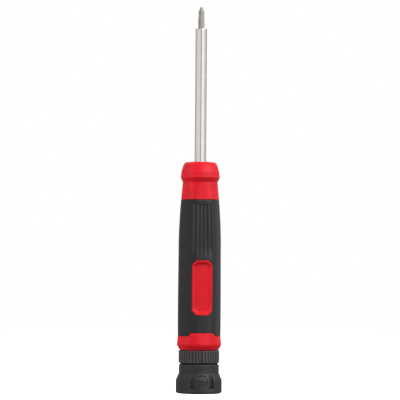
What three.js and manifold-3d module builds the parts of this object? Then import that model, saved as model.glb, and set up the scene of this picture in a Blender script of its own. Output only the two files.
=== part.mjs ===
// A multi-bit screwdriver: a spinning, locking end cap draws a two-tier bit carrier out of the handle.
// Millimetres, +Z up along the shaft. It stands on its cap, and its front faces -Y.

import * as THREE from "three";
import { mergeVertices } from "three/addons/utils/BufferGeometryUtils.js";
import Module from "manifold-3d";

const wasm = await Module();
wasm.setup();

// Clearances between pieces
const MOULD_GAP = 0.1;
const SEAT_GAP = 0.1;
const SLIDE_GAP = 0.2;
const RUN_GAP = 0.2;
const BIT_GAP = 0.12;
const LUG_GAP = 0.3;

// Bits: a hexagon shank with a turned neck and a working tip
const BIT_FLATS = 4.0;
const BIT_LENGTH = 28.0;
const BIT_SHANK_LENGTH = 15.6;
const BIT_SHOULDER = 0.5;
const BIT_NECK_DIAMETER = 3.55;
const BIT_TIP_LENGTH = 6.7;
const BIT_POINT_LENGTH = 2.4;
const BIT_EDGE = 0.35;
const DRIVER_TIP_DIAMETER = 3.28;

// Lengths that stack up the axis, from the foot of the cap to the end of the shaft
const CAP_HEIGHT = 16.4;
const RING_GAP = 0.9;
const RING_HEIGHT = 7.2;
const BAND_GAP = 0.3;
const BAND_HEIGHT = 7.8;
const GRIP_LENGTH = 77.5;
const NECK_LENGTH = 9.7;
const NOSE_LENGTH = 12.0;
const SHAFT_REACH = 75.8;

// Shaft and what holds it in the handle
const SHAFT_DIAMETER = 6.6;
const SHAFT_EDGE = 0.7;
const SHAFT_TANG = 40.0;
const WING_SPAN = 10.5;
const WING_THICKNESS = 2.4;
const WING_LENGTH = 12.0;
const WING_FOOT = 3.0;
const MAGNET_DIAMETER = 3.2;
const MAGNET_LENGTH = 3.0;

// Bit carrier
const BITS_PER_TIER = 6;
const TIERS = 2;
const POCKET_WALL = 0.5;
const POCKET_MOUTH_GRIP = 0.3;
const CARRIER_RIM = 0.3;
const CARRIER_FLOOR = 1.4;
const CARRIER_DISC = 2.4;
const CARRIER_NECK_WALL = 1.1;
const PICK_LENGTH = 9.0;
const PICK_DEPTH = 1.4;
const KEY_WIDTH = 2.0;
const KEY_HEIGHT = 0.4;
const POST_DIAMETER = 6.0;
const BORE_HEADROOM = 2.0;

// Spinning ring on the handle's spigot
const SPIGOT_WALL = 1.2;
const SPIGOT_TOE = 0.5;
const CLIP_THICKNESS = 0.7;
const CLIP_GROOVE_DEPTH = 0.5;
const CLIP_MOUTH = 40;
const RING_SHOULDER = 0.8;
const RING_WALL = 0.8;
const RING_EDGE = 0.35;
const KNURL_COUNT = 40;
const KNURL_DEPTH = 0.3;
const KNURL_FLANK = 0.2;
const KNURL_CREST = 0.35;
const INDEX_WIDTH = 1.0;
const INDEX_DEPTH = 0.55;

// Bayonet between the ring's plate and the cap's lugs
const LUG_COUNT = 3;
const LUG_ANGLE = 26;
const LUG_REACH = 0.95;
const LUG_THICKNESS = 1.4;
const SLOT_PLAY = 4;
const PLATE_THICKNESS = 1.1;
const PLATE_RECESS = 0.2;
const PLATE_LEDGE = 1.2;

// Cap
const CAP_SPIGOT_WALL = 1.9;
const CAP_WAIST_STEP = 0.2;
const CAP_RIM_STEP = 1.47;
const CAP_RIM_HEIGHT = 7.7;
const CAP_FLARE = 4.1;
const CAP_FOOT_EDGE = 0.8;
const CAP_TOP_EDGE = 0.4;
const CAP_WEB_TOP = 12.2;
const CAP_WEB = 3.2;
const CAP_CUP_WALL = 1.7;
const CAP_GROOVE_RADIUS = 1.5;
const CAP_GROOVE_SWING = 25;
const CAP_GROOVE_FOOT = 2.4;
const CAP_GROOVE_FLOOR = 0.1;
const PLUG_THICKNESS = 1.9;
const PLUG_INSET = 0.3;
const PLUG_DISH = 0.5;
const SEAL_WIDTH = 1.0;
const SEAL_STEP = 0.75;
const WASHER_THICKNESS = 0.5;
const SCREW_DIAMETER = 2.8;
const SCREW_LENGTH = 9.0;
const SCREW_HEAD_DIAMETER = 5.2;
const SCREW_HEAD_HEIGHT = 2.2;
const SCREW_WASHER_DIAMETER = 9.0;
const SCREW_DRIVE_SPAN = 3.0;
const SCREW_DRIVE_WIDTH = 0.8;
const SCREW_DRIVE_DEPTH = 1.2;

// Handle: each radius is a step out from, or in from, the spinning ring
const GRIP_STEP = 0.8;
const GRIP_TOP_STEP = 0.53;
const GRIP_THICKNESS = 1.6;
const GRIP_KNEE_DROP = 18.1;
const GRIP_SWELL_DROP = 29.0;
const GRIP_SWELL_INSET = 0.15;
const GRIP_FULL_DROP = 55.0;
const BAND_STEP = 1.02;
const BAND_FOOT_STEP = 0.3;
const BAND_BELLY_RISE = 3.1;
const BAND_EDGE_RISE = 1.95;
const BAND_EDGE_STEP = 0.65;
const NECK_STEP = 1.54;
const NOSE_STEP = 0.42;
const NOSE_BELLY_RISE = 2.9;
const NOSE_CREASE_RISE = 0.6;
const NOSE_SHOULDER_DROP = 5.4;
const NOSE_SHOULDER_STEP = 0.87;
const NOSE_EDGE_DROP = 1.4;
const NOSE_EDGE_STEP = 2.2;
const NOSE_FACE_STEP = 4.2;
const FACET_COUNT = 6;
const FACET_DEPTH = 0.64;
const FLUTE_COUNT = 5;
const FLUTE_PITCH = 11;
const FLUTE_RADIUS = 1.8;
const FLUTE_DEPTH = 0.45;
const FLUTE_TOP_DROP = 2.4;
const FLUTE_LENGTH = 31.0;
const WINDOW_WIDTH = 11.7;
const WINDOW_HEIGHT = 31.1;
const WINDOW_CORNER = 2.3;
const WINDOW_RISE = 11.9;
const PANEL_WIDTH = 8.3;
const PANEL_HEIGHT = 27.0;
const PANEL_CORNER = 1.3;
const PANEL_DEPTH = 1.2;
const TAB_WIDTH = 12.3;
const TAB_FOOT_WIDTH = 16.1;
const TAB_HEIGHT = 1.9;

// How finely round forms are faceted
const ROUND_SIDES = 36;
const SMALL_SIDES = 18;
const TIP_SIDES = 12;
const POCKET_SIDES = 8;
const STAR_SIDES = 6;
const ARC_STEPS = 2;
const CLIP_STEPS = 12;
const CURVE_STEPS = 4;
const DISH_STEPS = 2;
const FLUTE_STEPS = 4;
const MERGE_DISTANCE = 1e-4;
const OVERSHOOT = 1.0;

const DEGREE = Math.PI / 180;
const FRONT = -90 * DEGREE;
const BACK = 90 * DEGREE;
const HEX_CORNER = 1 / Math.cos(30 * DEGREE);

// Radii, worked out from the bits outwards
const bitCorner = (BIT_FLATS / 2) * HEX_CORNER;
const pocketRadius = bitCorner + BIT_GAP;
const bitCircle = (pocketRadius + POCKET_WALL / 2) / Math.sin(Math.PI / BITS_PER_TIER);
const carrierRadius = bitCircle + bitCorner + CARRIER_RIM;
const boreRadius = carrierRadius + SLIDE_GAP;
const spigotRadius = boreRadius + SPIGOT_WALL;
const bearingRadius = spigotRadius + RUN_GAP;
const chamberRadius = bearingRadius + RING_SHOULDER;
const ringRadius = chamberRadius + RING_WALL + KNURL_DEPTH;
const gripRadius = ringRadius + GRIP_STEP;
const gripTopRadius = ringRadius - GRIP_TOP_STEP;
const shaftRadius = SHAFT_DIAMETER / 2;
const plateRadius = chamberRadius - SEAT_GAP;
const plateHole = plateRadius - PLATE_LEDGE;
const capSpigotRadius = plateHole - RUN_GAP;
const lugRadius = capSpigotRadius + LUG_REACH;
const slotRadius = lugRadius + RUN_GAP;
const capSpigotHole = capSpigotRadius - CAP_SPIGOT_WALL;
const carrierNeckRadius = capSpigotHole - RUN_GAP;
const capWaistRadius = ringRadius - CAP_WAIST_STEP;
const capRimRadius = ringRadius + CAP_RIM_STEP;
const capCupRadius = capWaistRadius - CAP_CUP_WALL;
const postRadius = POST_DIAMETER / 2;
const postHole = postRadius + RUN_GAP;

// Heights, worked out from the foot of the cap upwards
const ringFoot = CAP_HEIGHT + RING_GAP;
const ringTop = ringFoot + RING_HEIGHT;
const plateFoot = ringFoot + PLATE_RECESS;
const plateTop = plateFoot + PLATE_THICKNESS;
const lugFoot = plateTop + LUG_GAP;
const lugTop = lugFoot + LUG_THICKNESS;
const spigotFoot = lugTop + LUG_GAP;
const clipFoot = spigotFoot + SPIGOT_TOE + SEAT_GAP;
const clipTop = clipFoot + CLIP_THICKNESS;
const bearingFoot = clipTop + SEAT_GAP;
const bandFoot = ringTop + BAND_GAP;
const gripFoot = bandFoot + BAND_HEIGHT;
const gripTop = gripFoot + GRIP_LENGTH;
const noseFoot = gripTop + NECK_LENGTH;
const noseTop = noseFoot + NOSE_LENGTH;
const shaftTop = noseTop + SHAFT_REACH;
const shaftFoot = noseTop - SHAFT_TANG;
const bitFoot = shaftTop - BIT_SHANK_LENGTH;
const socketFloor = bitFoot - SEAT_GAP;
const magnetTop = socketFloor - SEAT_GAP;
const tierHeight = BIT_LENGTH + 2 * SEAT_GAP;
const carrierFoot = spigotFoot;
const carrierTop = carrierFoot + CARRIER_FLOOR + TIERS * (tierHeight + CARRIER_DISC);
const boreTop = carrierTop + BORE_HEADROOM;
const washerFoot = CAP_WEB_TOP + SEAT_GAP;
const neckFoot = washerFoot + WASHER_THICKNESS + SEAT_GAP;
const webFoot = CAP_WEB_TOP - CAP_WEB;
const postFoot = webFoot - SEAT_GAP;
const screwWasherTop = postFoot - SEAT_GAP;
const screwHeadTop = screwWasherTop - WASHER_THICKNESS - SEAT_GAP;
const windowMiddle = gripFoot + WINDOW_RISE + WINDOW_HEIGHT / 2;
const fluteTop = gripTop - FLUTE_TOP_DROP;
const fluteFoot = fluteTop - FLUTE_LENGTH;

// A closed geometry as a solid that can be joined and cut.
function solidOf(geometry) {
  const bare = geometry.clone();
  bare.deleteAttribute("normal");
  bare.deleteAttribute("uv");
  const merged = mergeVertices(bare, MERGE_DISTANCE);
  const corners = merged.index.array;
  const triangles = [];
  for (let i = 0; i < corners.length; i += 3) {
    const [a, b, c] = corners.subarray(i, i + 3);
    if (a !== b && b !== c && c !== a) {
      triangles.push(a, b, c);
    }
  }
  const mesh = new wasm.Mesh({
    numProp: 3,
    vertProperties: Float32Array.from(merged.attributes.position.array),
    triVerts: Uint32Array.from(triangles),
  });
  return new wasm.Manifold(mesh);
}

// A solid as a geometry again.
function geometryOf(solid) {
  const mesh = solid.getMesh();
  const geometry = new THREE.BufferGeometry();
  geometry.setAttribute("position", new THREE.BufferAttribute(Float32Array.from(mesh.vertProperties), 3));
  geometry.setIndex(Array.from(mesh.triVerts));
  geometry.computeVertexNormals();
  return geometry;
}

// A profile of [radius, height] points turned about Z. Outer sides run upwards in the list.
function revolve(points, sides = ROUND_SIDES) {
  const profile = points.map(([radius, height]) => new THREE.Vector2(radius, height));
  return new THREE.LatheGeometry(profile, sides).rotateX(90 * DEGREE);
}

// A ring of rectangular section.
function ringSolid(inner, outer, low, high, sides = ROUND_SIDES) {
  return solidOf(revolve([[inner, low], [outer, low], [outer, high], [inner, high], [inner, low]], sides));
}

// A round bar on the Z axis.
function barSolid(radius, low, high, sides = ROUND_SIDES) {
  return solidOf(revolve([[0, low], [radius, low], [radius, high], [0, high]], sides));
}

// A box given by its size and the middle of its foot.
function boxSolid(width, depth, low, high, x = 0, y = 0) {
  return solidOf(new THREE.BoxGeometry(width, depth, high - low).translate(x, y, (low + high) / 2));
}

// An outline in X and Y, pushed up from one height to another.
function prism(shape, low, high, curveSegments = ARC_STEPS) {
  const options = { depth: high - low, bevelEnabled: false, curveSegments };
  return new THREE.ExtrudeGeometry(shape, options).translate(0, 0, low);
}

function outline(points) {
  return new THREE.Shape(points.map(([x, y]) => new THREE.Vector2(x, y)));
}

// A regular polygon with a corner on +X.
function polygon(sides, radius) {
  const turn = (2 * Math.PI) / sides;
  const corners = Array.from({ length: sides }, (_, i) => [radius * Math.cos(i * turn), radius * Math.sin(i * turn)]);
  return outline(corners);
}

// A block between two radii, to either side of a direction.
function sectorSolid(inner, outer, direction, halfAngle, low, high) {
  const shape = new THREE.Shape();
  shape.absarc(0, 0, outer, direction - halfAngle, direction + halfAngle, false);
  shape.absarc(0, 0, inner, direction + halfAngle, direction - halfAngle, true);
  return solidOf(prism(shape, low, high));
}

// An outline in X and Z, pushed out from the axis towards the front.
function frontPrism(shape) {
  return solidOf(prism(shape, 0, gripRadius + OVERSHOOT).rotateX(90 * DEGREE));
}

function turned(solid, angle) {
  return solid.rotate([0, 0, angle / DEGREE]);
}

function joined(solids) {
  return solids.reduce((whole, solid) => whole.add(solid));
}

function around(count, make) {
  return Array.from({ length: count }, (_, i) => make((i * 2 * Math.PI) / count));
}

// The handle's section is a soft hexagon with a flat in front. It fades to round down the band.
function facetDepth(height) {
  const share = (height - bandFoot - BAND_BELLY_RISE) / (BAND_HEIGHT - BAND_BELLY_RISE);
  return FACET_DEPTH * Math.min(Math.max(share, 0), 1);
}

function facetDrop(angleFromFront, height) {
  return (facetDepth(height) * (1 + Math.cos(FACET_COUNT * angleFromFront))) / 2;
}

function faceted(geometry) {
  const place = geometry.attributes.position;
  for (let i = 0; i < place.count; i += 1) {
    const x = place.getX(i);
    const y = place.getY(i);
    const radius = Math.hypot(x, y);
    if (radius > 0) {
      const scale = 1 - facetDrop(Math.atan2(x, -y), place.getZ(i)) / radius;
      place.setXY(i, x * scale, y * scale);
    }
  }
  return geometry;
}

// The grip's outer profile from foot to top, as [radius, height] points.
function gripProfile() {
  const path = new THREE.Path();
  path.moveTo(gripRadius, gripFoot);
  path.lineTo(gripRadius, gripTop - GRIP_FULL_DROP);
  path.lineTo(gripRadius - GRIP_SWELL_INSET, gripTop - GRIP_SWELL_DROP);
  path.quadraticCurveTo(gripRadius, gripTop - GRIP_KNEE_DROP, gripTopRadius, gripTop);
  return path.getPoints(CURVE_STEPS).map((point) => [point.x, point.y]);
}

// The same profile moved in by a wall, with its ends moved along the axis.
function gripInside(wall, footShift, topShift) {
  const points = gripProfile();
  return points.map(([radius, height], i) => {
    const shift = (i === 0 ? footShift : 0) + (i === points.length - 1 ? topShift : 0);
    return [radius - wall, height + shift];
  });
}

// Everything inside the grip's outer surface, with a little of the band below it.
function gripEnvelope() {
  const points = [[0, gripFoot - OVERSHOOT], [gripRadius, gripFoot - OVERSHOOT], ...gripProfile(), [0, gripTop]];
  return solidOf(faceted(revolve(points)));
}

// The window's outline in X and Z, grown by a gap.
function windowShape(grow) {
  const x = WINDOW_WIDTH / 2 + grow;
  const low = windowMiddle - WINDOW_HEIGHT / 2 - grow;
  const high = windowMiddle + WINDOW_HEIGHT / 2 + grow;
  return chamferedShape(x, low, high, WINDOW_CORNER);
}

function chamferedShape(x, low, high, corner) {
  return outline([
    [-x + corner, low], [x - corner, low], [x, low + corner], [x, high - corner],
    [x - corner, high], [-x + corner, high], [-x, high - corner], [-x, low + corner],
  ]);
}

// The band's tab, which rises into a notch in the foot of the grip.
function tabShape(grow) {
  const top = TAB_WIDTH / 2 + grow;
  const foot = TAB_FOOT_WIDTH / 2 + grow;
  const low = gripFoot - OVERSHOOT / 2;
  return outline([[-foot, low], [foot, low], [foot, gripFoot], [top, gripFoot + TAB_HEIGHT + grow],
    [-top, gripFoot + TAB_HEIGHT + grow], [-foot, gripFoot]]);
}

// The recess in the window: a flat panel with walls that slope out at 45 degrees.
function panelCut() {
  const x = PANEL_WIDTH / 2;
  const half = PANEL_HEIGHT / 2;
  const floor = gripRadius - FACET_DEPTH - PANEL_DEPTH;
  const slope = PANEL_DEPTH + OVERSHOOT;
  const shape = chamferedShape(x, windowMiddle - half, windowMiddle + half, PANEL_CORNER);
  const bevel = { bevelEnabled: true, bevelSegments: 1, bevelSize: slope, bevelThickness: slope };
  const block = new THREE.ExtrudeGeometry(shape, { depth: OVERSHOOT, ...bevel });
  return solidOf(block.translate(0, 0, floor + slope).rotateX(90 * DEGREE));
}

function handleCore() {
  const groove = spigotRadius - CLIP_GROOVE_DEPTH;
  const bandRadius = ringRadius + BAND_STEP;
  const edge = new THREE.Path();
  edge.moveTo(ringRadius - NOSE_EDGE_STEP, noseTop - NOSE_EDGE_DROP);
  edge.quadraticCurveTo(ringRadius - NOSE_EDGE_STEP - NOSE_EDGE_DROP / 3, noseTop, ringRadius - NOSE_FACE_STEP, noseTop);
  const body = faceted(revolve([
    [0, spigotFoot],
    [spigotRadius, spigotFoot],
    [spigotRadius, clipFoot - SEAT_GAP],
    [groove, clipFoot - SEAT_GAP],
    [groove, clipTop + SEAT_GAP],
    [spigotRadius, clipTop + SEAT_GAP],
    [spigotRadius, bandFoot],
    [ringRadius - BAND_FOOT_STEP, bandFoot],
    [ringRadius + BAND_EDGE_STEP, bandFoot + BAND_EDGE_RISE],
    [bandRadius, bandFoot + BAND_BELLY_RISE],
    [gripRadius, gripFoot - MOULD_GAP],
    ...gripInside(GRIP_THICKNESS + MOULD_GAP, -MOULD_GAP, MOULD_GAP),
    [gripTopRadius, gripTop + MOULD_GAP],
    [ringRadius - NECK_STEP, noseFoot],
    [ringRadius - NECK_STEP + MOULD_GAP, noseFoot + NOSE_CREASE_RISE],
    [ringRadius - NOSE_STEP, noseFoot + NOSE_BELLY_RISE],
    [ringRadius - NOSE_SHOULDER_STEP, noseTop - NOSE_SHOULDER_DROP],
    ...edge.getPoints(CURVE_STEPS).map((point) => [point.x, point.y]),
    [0, noseTop],
  ]));
  const envelope = gripEnvelope();
  const tab = frontPrism(tabShape(0)).intersect(envelope);
  const pad = frontPrism(windowShape(0)).intersect(envelope).subtract(panelCut());
  const keyReach = boreRadius + KEY_HEIGHT;
  const keyway = boxSolid(keyReach, KEY_WIDTH + 2 * SLIDE_GAP, spigotFoot - OVERSHOOT, boreTop, keyReach / 2);
  return joined([solidOf(body), pad, tab, turned(tab, Math.PI)])
    .subtract(barSolid(boreRadius, spigotFoot - OVERSHOOT, boreTop))
    .subtract(keyway)
    .subtract(barSolid(shaftRadius + MOULD_GAP, shaftFoot - MOULD_GAP, noseTop + OVERSHOOT))
    .subtract(shaftWings(MOULD_GAP));
}

// One concave flute, swept along the grip's surface at an angle from the front.
function flute(angleFromFront) {
  const points = gripProfile().filter(([, height]) => height > fluteFoot && height < fluteTop);
  const ends = [fluteFoot, fluteTop].map((height) => [radiusAt(height), height]);
  const lift = FLUTE_RADIUS - FLUTE_DEPTH;
  const path = [ends[0], ...points, ends[1]].map(([radius, height]) => {
    const reach = radius - facetDrop(angleFromFront, height) + lift;
    return new THREE.Vector3(reach * Math.sin(angleFromFront), -reach * Math.cos(angleFromFront), height);
  });
  const options = { steps: FLUTE_STEPS, extrudePath: new THREE.CatmullRomCurve3(path) };
  return solidOf(new THREE.ExtrudeGeometry(polygon(TIP_SIDES, FLUTE_RADIUS), options));
}

// The grip's outer radius at a height, between the points of its profile.
function radiusAt(height) {
  const points = gripProfile();
  const next = points.findIndex(([, z]) => z >= height);
  const [lowRadius, low] = points[next - 1];
  const [highRadius, high] = points[next];
  return THREE.MathUtils.mapLinear(height, low, high, lowRadius, highRadius);
}

function gripSleeve() {
  const inside = gripInside(GRIP_THICKNESS, 0, 0);
  const tube = solidOf(faceted(revolve([inside[0], ...gripProfile(), ...inside.toReversed()])));
  const notch = frontPrism(tabShape(MOULD_GAP));
  const flutes = Array.from({ length: FLUTE_COUNT }, (_, i) => (i - (FLUTE_COUNT - 1) / 2) * FLUTE_PITCH * DEGREE);
  const panel = joined(flutes.map(flute));
  return tube
    .subtract(frontPrism(windowShape(MOULD_GAP)))
    .subtract(notch.add(turned(notch, Math.PI)))
    .subtract(panel.add(turned(panel, Math.PI)));
}

// Two wings swaged on the shaft, which stop it turning in the handle.
function shaftWings(grow) {
  const low = shaftFoot + WING_FOOT - grow;
  const high = shaftFoot + WING_FOOT + WING_LENGTH + grow;
  return boxSolid(WING_SPAN + 2 * grow, WING_THICKNESS + 2 * grow, low, high);
}

function hexBar(flats, low, high) {
  return solidOf(prism(polygon(6, (flats / 2) * HEX_CORNER), low, high));
}

function shaft() {
  const rod = solidOf(revolve([
    [0, shaftFoot],
    [shaftRadius, shaftFoot],
    [shaftRadius, shaftTop - SHAFT_EDGE],
    [shaftRadius - SHAFT_EDGE / 3, shaftTop - SHAFT_EDGE / 3],
    [shaftRadius - SHAFT_EDGE, shaftTop],
    [0, shaftTop],
  ], SMALL_SIDES));
  const magnetHole = MAGNET_DIAMETER / 2 + SEAT_GAP;
  return rod
    .add(shaftWings(0))
    .subtract(hexBar(BIT_FLATS + 2 * BIT_GAP, socketFloor, shaftTop + OVERSHOOT))
    .subtract(barSolid(magnetHole, magnetTop - MAGNET_LENGTH - SEAT_GAP, socketFloor + OVERSHOOT, TIP_SIDES));
}

function socketMagnet() {
  return barSolid(MAGNET_DIAMETER / 2, magnetTop - MAGNET_LENGTH, magnetTop, TIP_SIDES);
}

// Flat cuts that leave a blade, a square or a hexagon. They run out at the foot of the tip.
function flatCuts(count, halfWidth, radius, foot, top) {
  const run = Math.atan2(radius - halfWidth, top - foot);
  return around(count, (angle) => {
    const block = new THREE.BoxGeometry(2 * radius, 4 * radius, 2 * (top - foot));
    block.translate(radius, 0, 0).rotateY(-run).translate(halfWidth, 0, top);
    return turned(solidOf(block), angle);
  });
}

// Four slanting notches that leave the wings of a cross tip.
function crossCuts(radius, foot, top) {
  const web = radius / 5;
  const run = Math.atan2(radius - web, top - foot);
  const side = 2 * radius;
  return around(4, (angle) => {
    const block = new THREE.BoxGeometry(side, side, 2 * (top - foot));
    block.rotateZ(45 * DEGREE).translate(side * Math.SQRT1_2, 0, 0).rotateY(-run).translate(web, 0, top);
    return turned(solidOf(block), angle + 45 * DEGREE);
  });
}

// Six round grooves that leave a star.
function starCuts(radius, foot, top) {
  const groove = radius / 3;
  return around(6, (angle) => {
    const bar = new THREE.CylinderGeometry(groove, groove, 2 * (top - foot), STAR_SIDES).rotateX(90 * DEGREE);
    return turned(solidOf(bar.translate(radius + groove / 4, 0, top)), angle);
  });
}

function tipCuts(kind, radius, foot, top) {
  const kinds = {
    cross: () => crossCuts(radius, foot, top),
    blade: () => flatCuts(2, radius / 5, radius, foot, top),
    square: () => flatCuts(4, radius * Math.SQRT1_2, radius, top - BIT_POINT_LENGTH, top),
    hexagon: () => flatCuts(6, radius / HEX_CORNER, radius, top - BIT_POINT_LENGTH, top),
    star: () => starCuts(radius, top - BIT_POINT_LENGTH, top),
  };
  return joined(kinds[kind]());
}

// A bit standing on its shank at the origin, with a corner of the hexagon on +X.
function bit(kind, tipDiameter) {
  const neck = BIT_NECK_DIAMETER / 2;
  const tip = tipDiameter / 2;
  const tipFoot = BIT_LENGTH - BIT_TIP_LENGTH;
  const point = kind === "cross" ? (tip * 2) / 5 : tip;
  const turnedBlank = solidOf(revolve([
    [0, 0],
    [bitCorner - BIT_EDGE, 0],
    [bitCorner + SEAT_GAP, BIT_EDGE],
    [bitCorner + SEAT_GAP, BIT_SHANK_LENGTH - BIT_SHOULDER],
    [neck, BIT_SHANK_LENGTH],
    [neck, tipFoot],
    [tip, tipFoot + BIT_SHOULDER],
    [tip, BIT_LENGTH - BIT_POINT_LENGTH],
    [point, BIT_LENGTH],
    [0, BIT_LENGTH],
  ], TIP_SIDES));
  const blank = turnedBlank.intersect(hexBar(BIT_FLATS, -OVERSHOOT, BIT_LENGTH + OVERSHOOT));
  return blank.subtract(tipCuts(kind, tip, tipFoot + BIT_SHOULDER, BIT_LENGTH));
}

// Where a tier of the carrier starts.
function tierFoot(tier) {
  return carrierFoot + CARRIER_FLOOR + tier * (tierHeight + CARRIER_DISC);
}

// The places of the stored bits: each has its tier and its direction.
function pockets() {
  const directions = around(BITS_PER_TIER, (angle) => angle + FRONT);
  return Array.from({ length: TIERS }, (_, tier) => directions.map((direction) => ({ tier, direction }))).flat();
}

function bitCarrier() {
  const body = barSolid(carrierRadius, carrierFoot, carrierTop);
  const neck = barSolid(carrierNeckRadius, neckFoot, carrierFoot + OVERSHOOT);
  const post = barSolid(postRadius, postFoot, neckFoot + OVERSHOOT, SMALL_SIDES);
  const key = boxSolid(KEY_HEIGHT + OVERSHOOT, KEY_WIDTH, carrierFoot, carrierTop,
    carrierRadius + (KEY_HEIGHT - OVERSHOOT) / 2);
  const mouth = BIT_FLATS - POCKET_MOUTH_GRIP;
  const pocketCuts = pockets().map(({ tier, direction }) => {
    const low = tierFoot(tier);
    const high = low + tierHeight;
    const seat = solidOf(prism(polygon(POCKET_SIDES, pocketRadius / Math.cos(Math.PI / POCKET_SIDES)), low, high));
    const slot = boxSolid(carrierRadius, mouth, low, high, carrierRadius / 2);
    return turned(seat.add(slot).translate([bitCircle, 0, 0]), direction);
  });
  const pickCuts = Array.from({ length: TIERS }, (_, tier) => {
    const low = tierFoot(tier) + (tierHeight - PICK_LENGTH) / 2;
    return ringSolid(carrierRadius - PICK_DEPTH, carrierRadius + OVERSHOOT, low, low + PICK_LENGTH, SMALL_SIDES);
  });
  const neckHollow = ringSolid(postRadius + CARRIER_NECK_WALL, carrierNeckRadius - CARRIER_NECK_WALL,
    neckFoot - OVERSHOOT, carrierFoot - CARRIER_NECK_WALL, SMALL_SIDES);
  const screwHole = barSolid(SCREW_DIAMETER / 2 + SEAT_GAP, postFoot - OVERSHOOT, screwHeadTop + SCREW_LENGTH + SEAT_GAP,
    TIP_SIDES);
  return joined([body, neck, post])
    .subtract(joined([...pocketCuts, ...pickCuts]))
    .add(key)
    .subtract(neckHollow)
    .subtract(screwHole);
}

function knurlShape() {
  const pitch = (2 * Math.PI) / KNURL_COUNT;
  const root = ringRadius - KNURL_DEPTH;
  const crestEnd = KNURL_FLANK + KNURL_CREST;
  const tooth = [[root, 0], [ringRadius, KNURL_FLANK], [ringRadius, crestEnd], [root, crestEnd + KNURL_FLANK]];
  const corners = Array.from({ length: KNURL_COUNT }, (_, i) => tooth.map(([radius, share]) => {
    const angle = (i + share) * pitch;
    return [radius * Math.cos(angle), radius * Math.sin(angle)];
  }));
  return outline(corners.flat());
}

function ringBody() {
  const tube = solidOf(revolve([
    [chamberRadius, ringFoot],
    [ringRadius - RING_EDGE, ringFoot],
    [ringRadius, ringFoot + RING_EDGE],
    [ringRadius, ringTop - RING_EDGE],
    [ringRadius - RING_EDGE, ringTop],
    [bearingRadius, ringTop],
    [bearingRadius, bearingFoot],
    [chamberRadius, bearingFoot],
    [chamberRadius, ringFoot],
  ]));
  const knurl = solidOf(prism(knurlShape(), ringFoot - OVERSHOOT, ringTop + OVERSHOOT));
  const index = boxSolid(INDEX_WIDTH, 2 * INDEX_DEPTH, ringFoot - OVERSHOOT, ringTop + OVERSHOOT, 0, -ringRadius);
  return tube.intersect(knurl).subtract(index);
}

// The circlip in the groove of the handle's spigot, open at the back.
function ringClip() {
  const shape = new THREE.Shape();
  const half = (CLIP_MOUTH / 2) * DEGREE;
  const inner = spigotRadius - CLIP_GROOVE_DEPTH + SEAT_GAP;
  const outer = chamberRadius - RUN_GAP;
  shape.absarc(0, 0, outer, BACK + half, BACK - half + 2 * Math.PI, false);
  shape.absarc(0, 0, inner, BACK - half + 2 * Math.PI, BACK + half, true);
  return solidOf(prism(shape, clipFoot, clipTop, CLIP_STEPS));
}

function bayonetPlate() {
  const plate = ringSolid(plateHole, plateRadius, plateFoot, plateTop);
  const half = (LUG_ANGLE / 2 + SLOT_PLAY) * DEGREE;
  const slots = around(LUG_COUNT, (angle) =>
    sectorSolid(plateHole - OVERSHOOT, slotRadius, angle + FRONT, half, plateFoot - OVERSHOOT, plateTop + OVERSHOOT));
  return plate.subtract(joined(slots));
}

function endCap() {
  const shell = solidOf(revolve([
    [capCupRadius, 0],
    [capRimRadius - CAP_FOOT_EDGE, 0],
    [capRimRadius - CAP_FOOT_EDGE / 4, CAP_FOOT_EDGE / 3],
    [capRimRadius, CAP_FOOT_EDGE],
    [capRimRadius, CAP_RIM_HEIGHT],
    [capWaistRadius, CAP_RIM_HEIGHT + CAP_FLARE],
    [capWaistRadius, CAP_HEIGHT - CAP_TOP_EDGE],
    [capWaistRadius - CAP_TOP_EDGE, CAP_HEIGHT],
    [capSpigotRadius, CAP_HEIGHT],
    [capSpigotRadius, lugTop],
    [capSpigotHole, lugTop],
    [capSpigotHole, CAP_WEB_TOP],
    [postHole, CAP_WEB_TOP],
    [postHole, webFoot],
    [capCupRadius, webFoot],
    [capCupRadius, 0],
  ]));
  const lugs = around(LUG_COUNT, (angle) =>
    sectorSolid(capSpigotHole + SEAT_GAP, lugRadius, angle + FRONT, (LUG_ANGLE / 2) * DEGREE, lugFoot, lugTop));
  const grooveMiddle = capWaistRadius + CAP_GROOVE_FLOOR + CAP_GROOVE_RADIUS;
  const grooves = [FRONT, BACK].flatMap((face) => [-1, 1].map((side) => {
    const bar = barSolid(CAP_GROOVE_RADIUS, CAP_GROOVE_FOOT, CAP_HEIGHT, SMALL_SIDES);
    return turned(bar.translate([grooveMiddle, 0, 0]), face + side * CAP_GROOVE_SWING * DEGREE);
  }));
  return joined([shell, ...lugs]).subtract(joined(grooves));
}

// The seal that fills the gap between the cap and the ring.
function capSeal() {
  const outer = ringRadius - SEAL_STEP;
  const inner = outer - SEAL_WIDTH;
  const low = CAP_HEIGHT + SEAT_GAP;
  const high = ringFoot - SEAT_GAP;
  const middle = (low + high) / 2;
  const crown = SEAL_WIDTH / 4;
  return solidOf(revolve([
    [inner, low],
    [outer - crown, low],
    [outer, middle],
    [outer - crown, high],
    [inner, high],
    [inner, low],
  ]));
}

// The disc in the foot of the cap, dished for a fingertip.
function capPlug() {
  const radius = capCupRadius - SEAT_GAP;
  const dish = new THREE.Path();
  dish.moveTo(0, PLUG_INSET + PLUG_DISH);
  dish.quadraticCurveTo(radius / 2, PLUG_INSET + PLUG_DISH, radius - PLUG_DISH, PLUG_INSET);
  return solidOf(revolve([
    ...dish.getPoints(DISH_STEPS).map((point) => [point.x, point.y]),
    [radius, PLUG_INSET],
    [radius, PLUG_INSET + PLUG_THICKNESS],
    [0, PLUG_INSET + PLUG_THICKNESS],
  ]));
}

function thrustWasher() {
  const outer = capSpigotHole - RUN_GAP;
  return ringSolid(postHole, outer, washerFoot, washerFoot + WASHER_THICKNESS, SMALL_SIDES);
}

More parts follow.
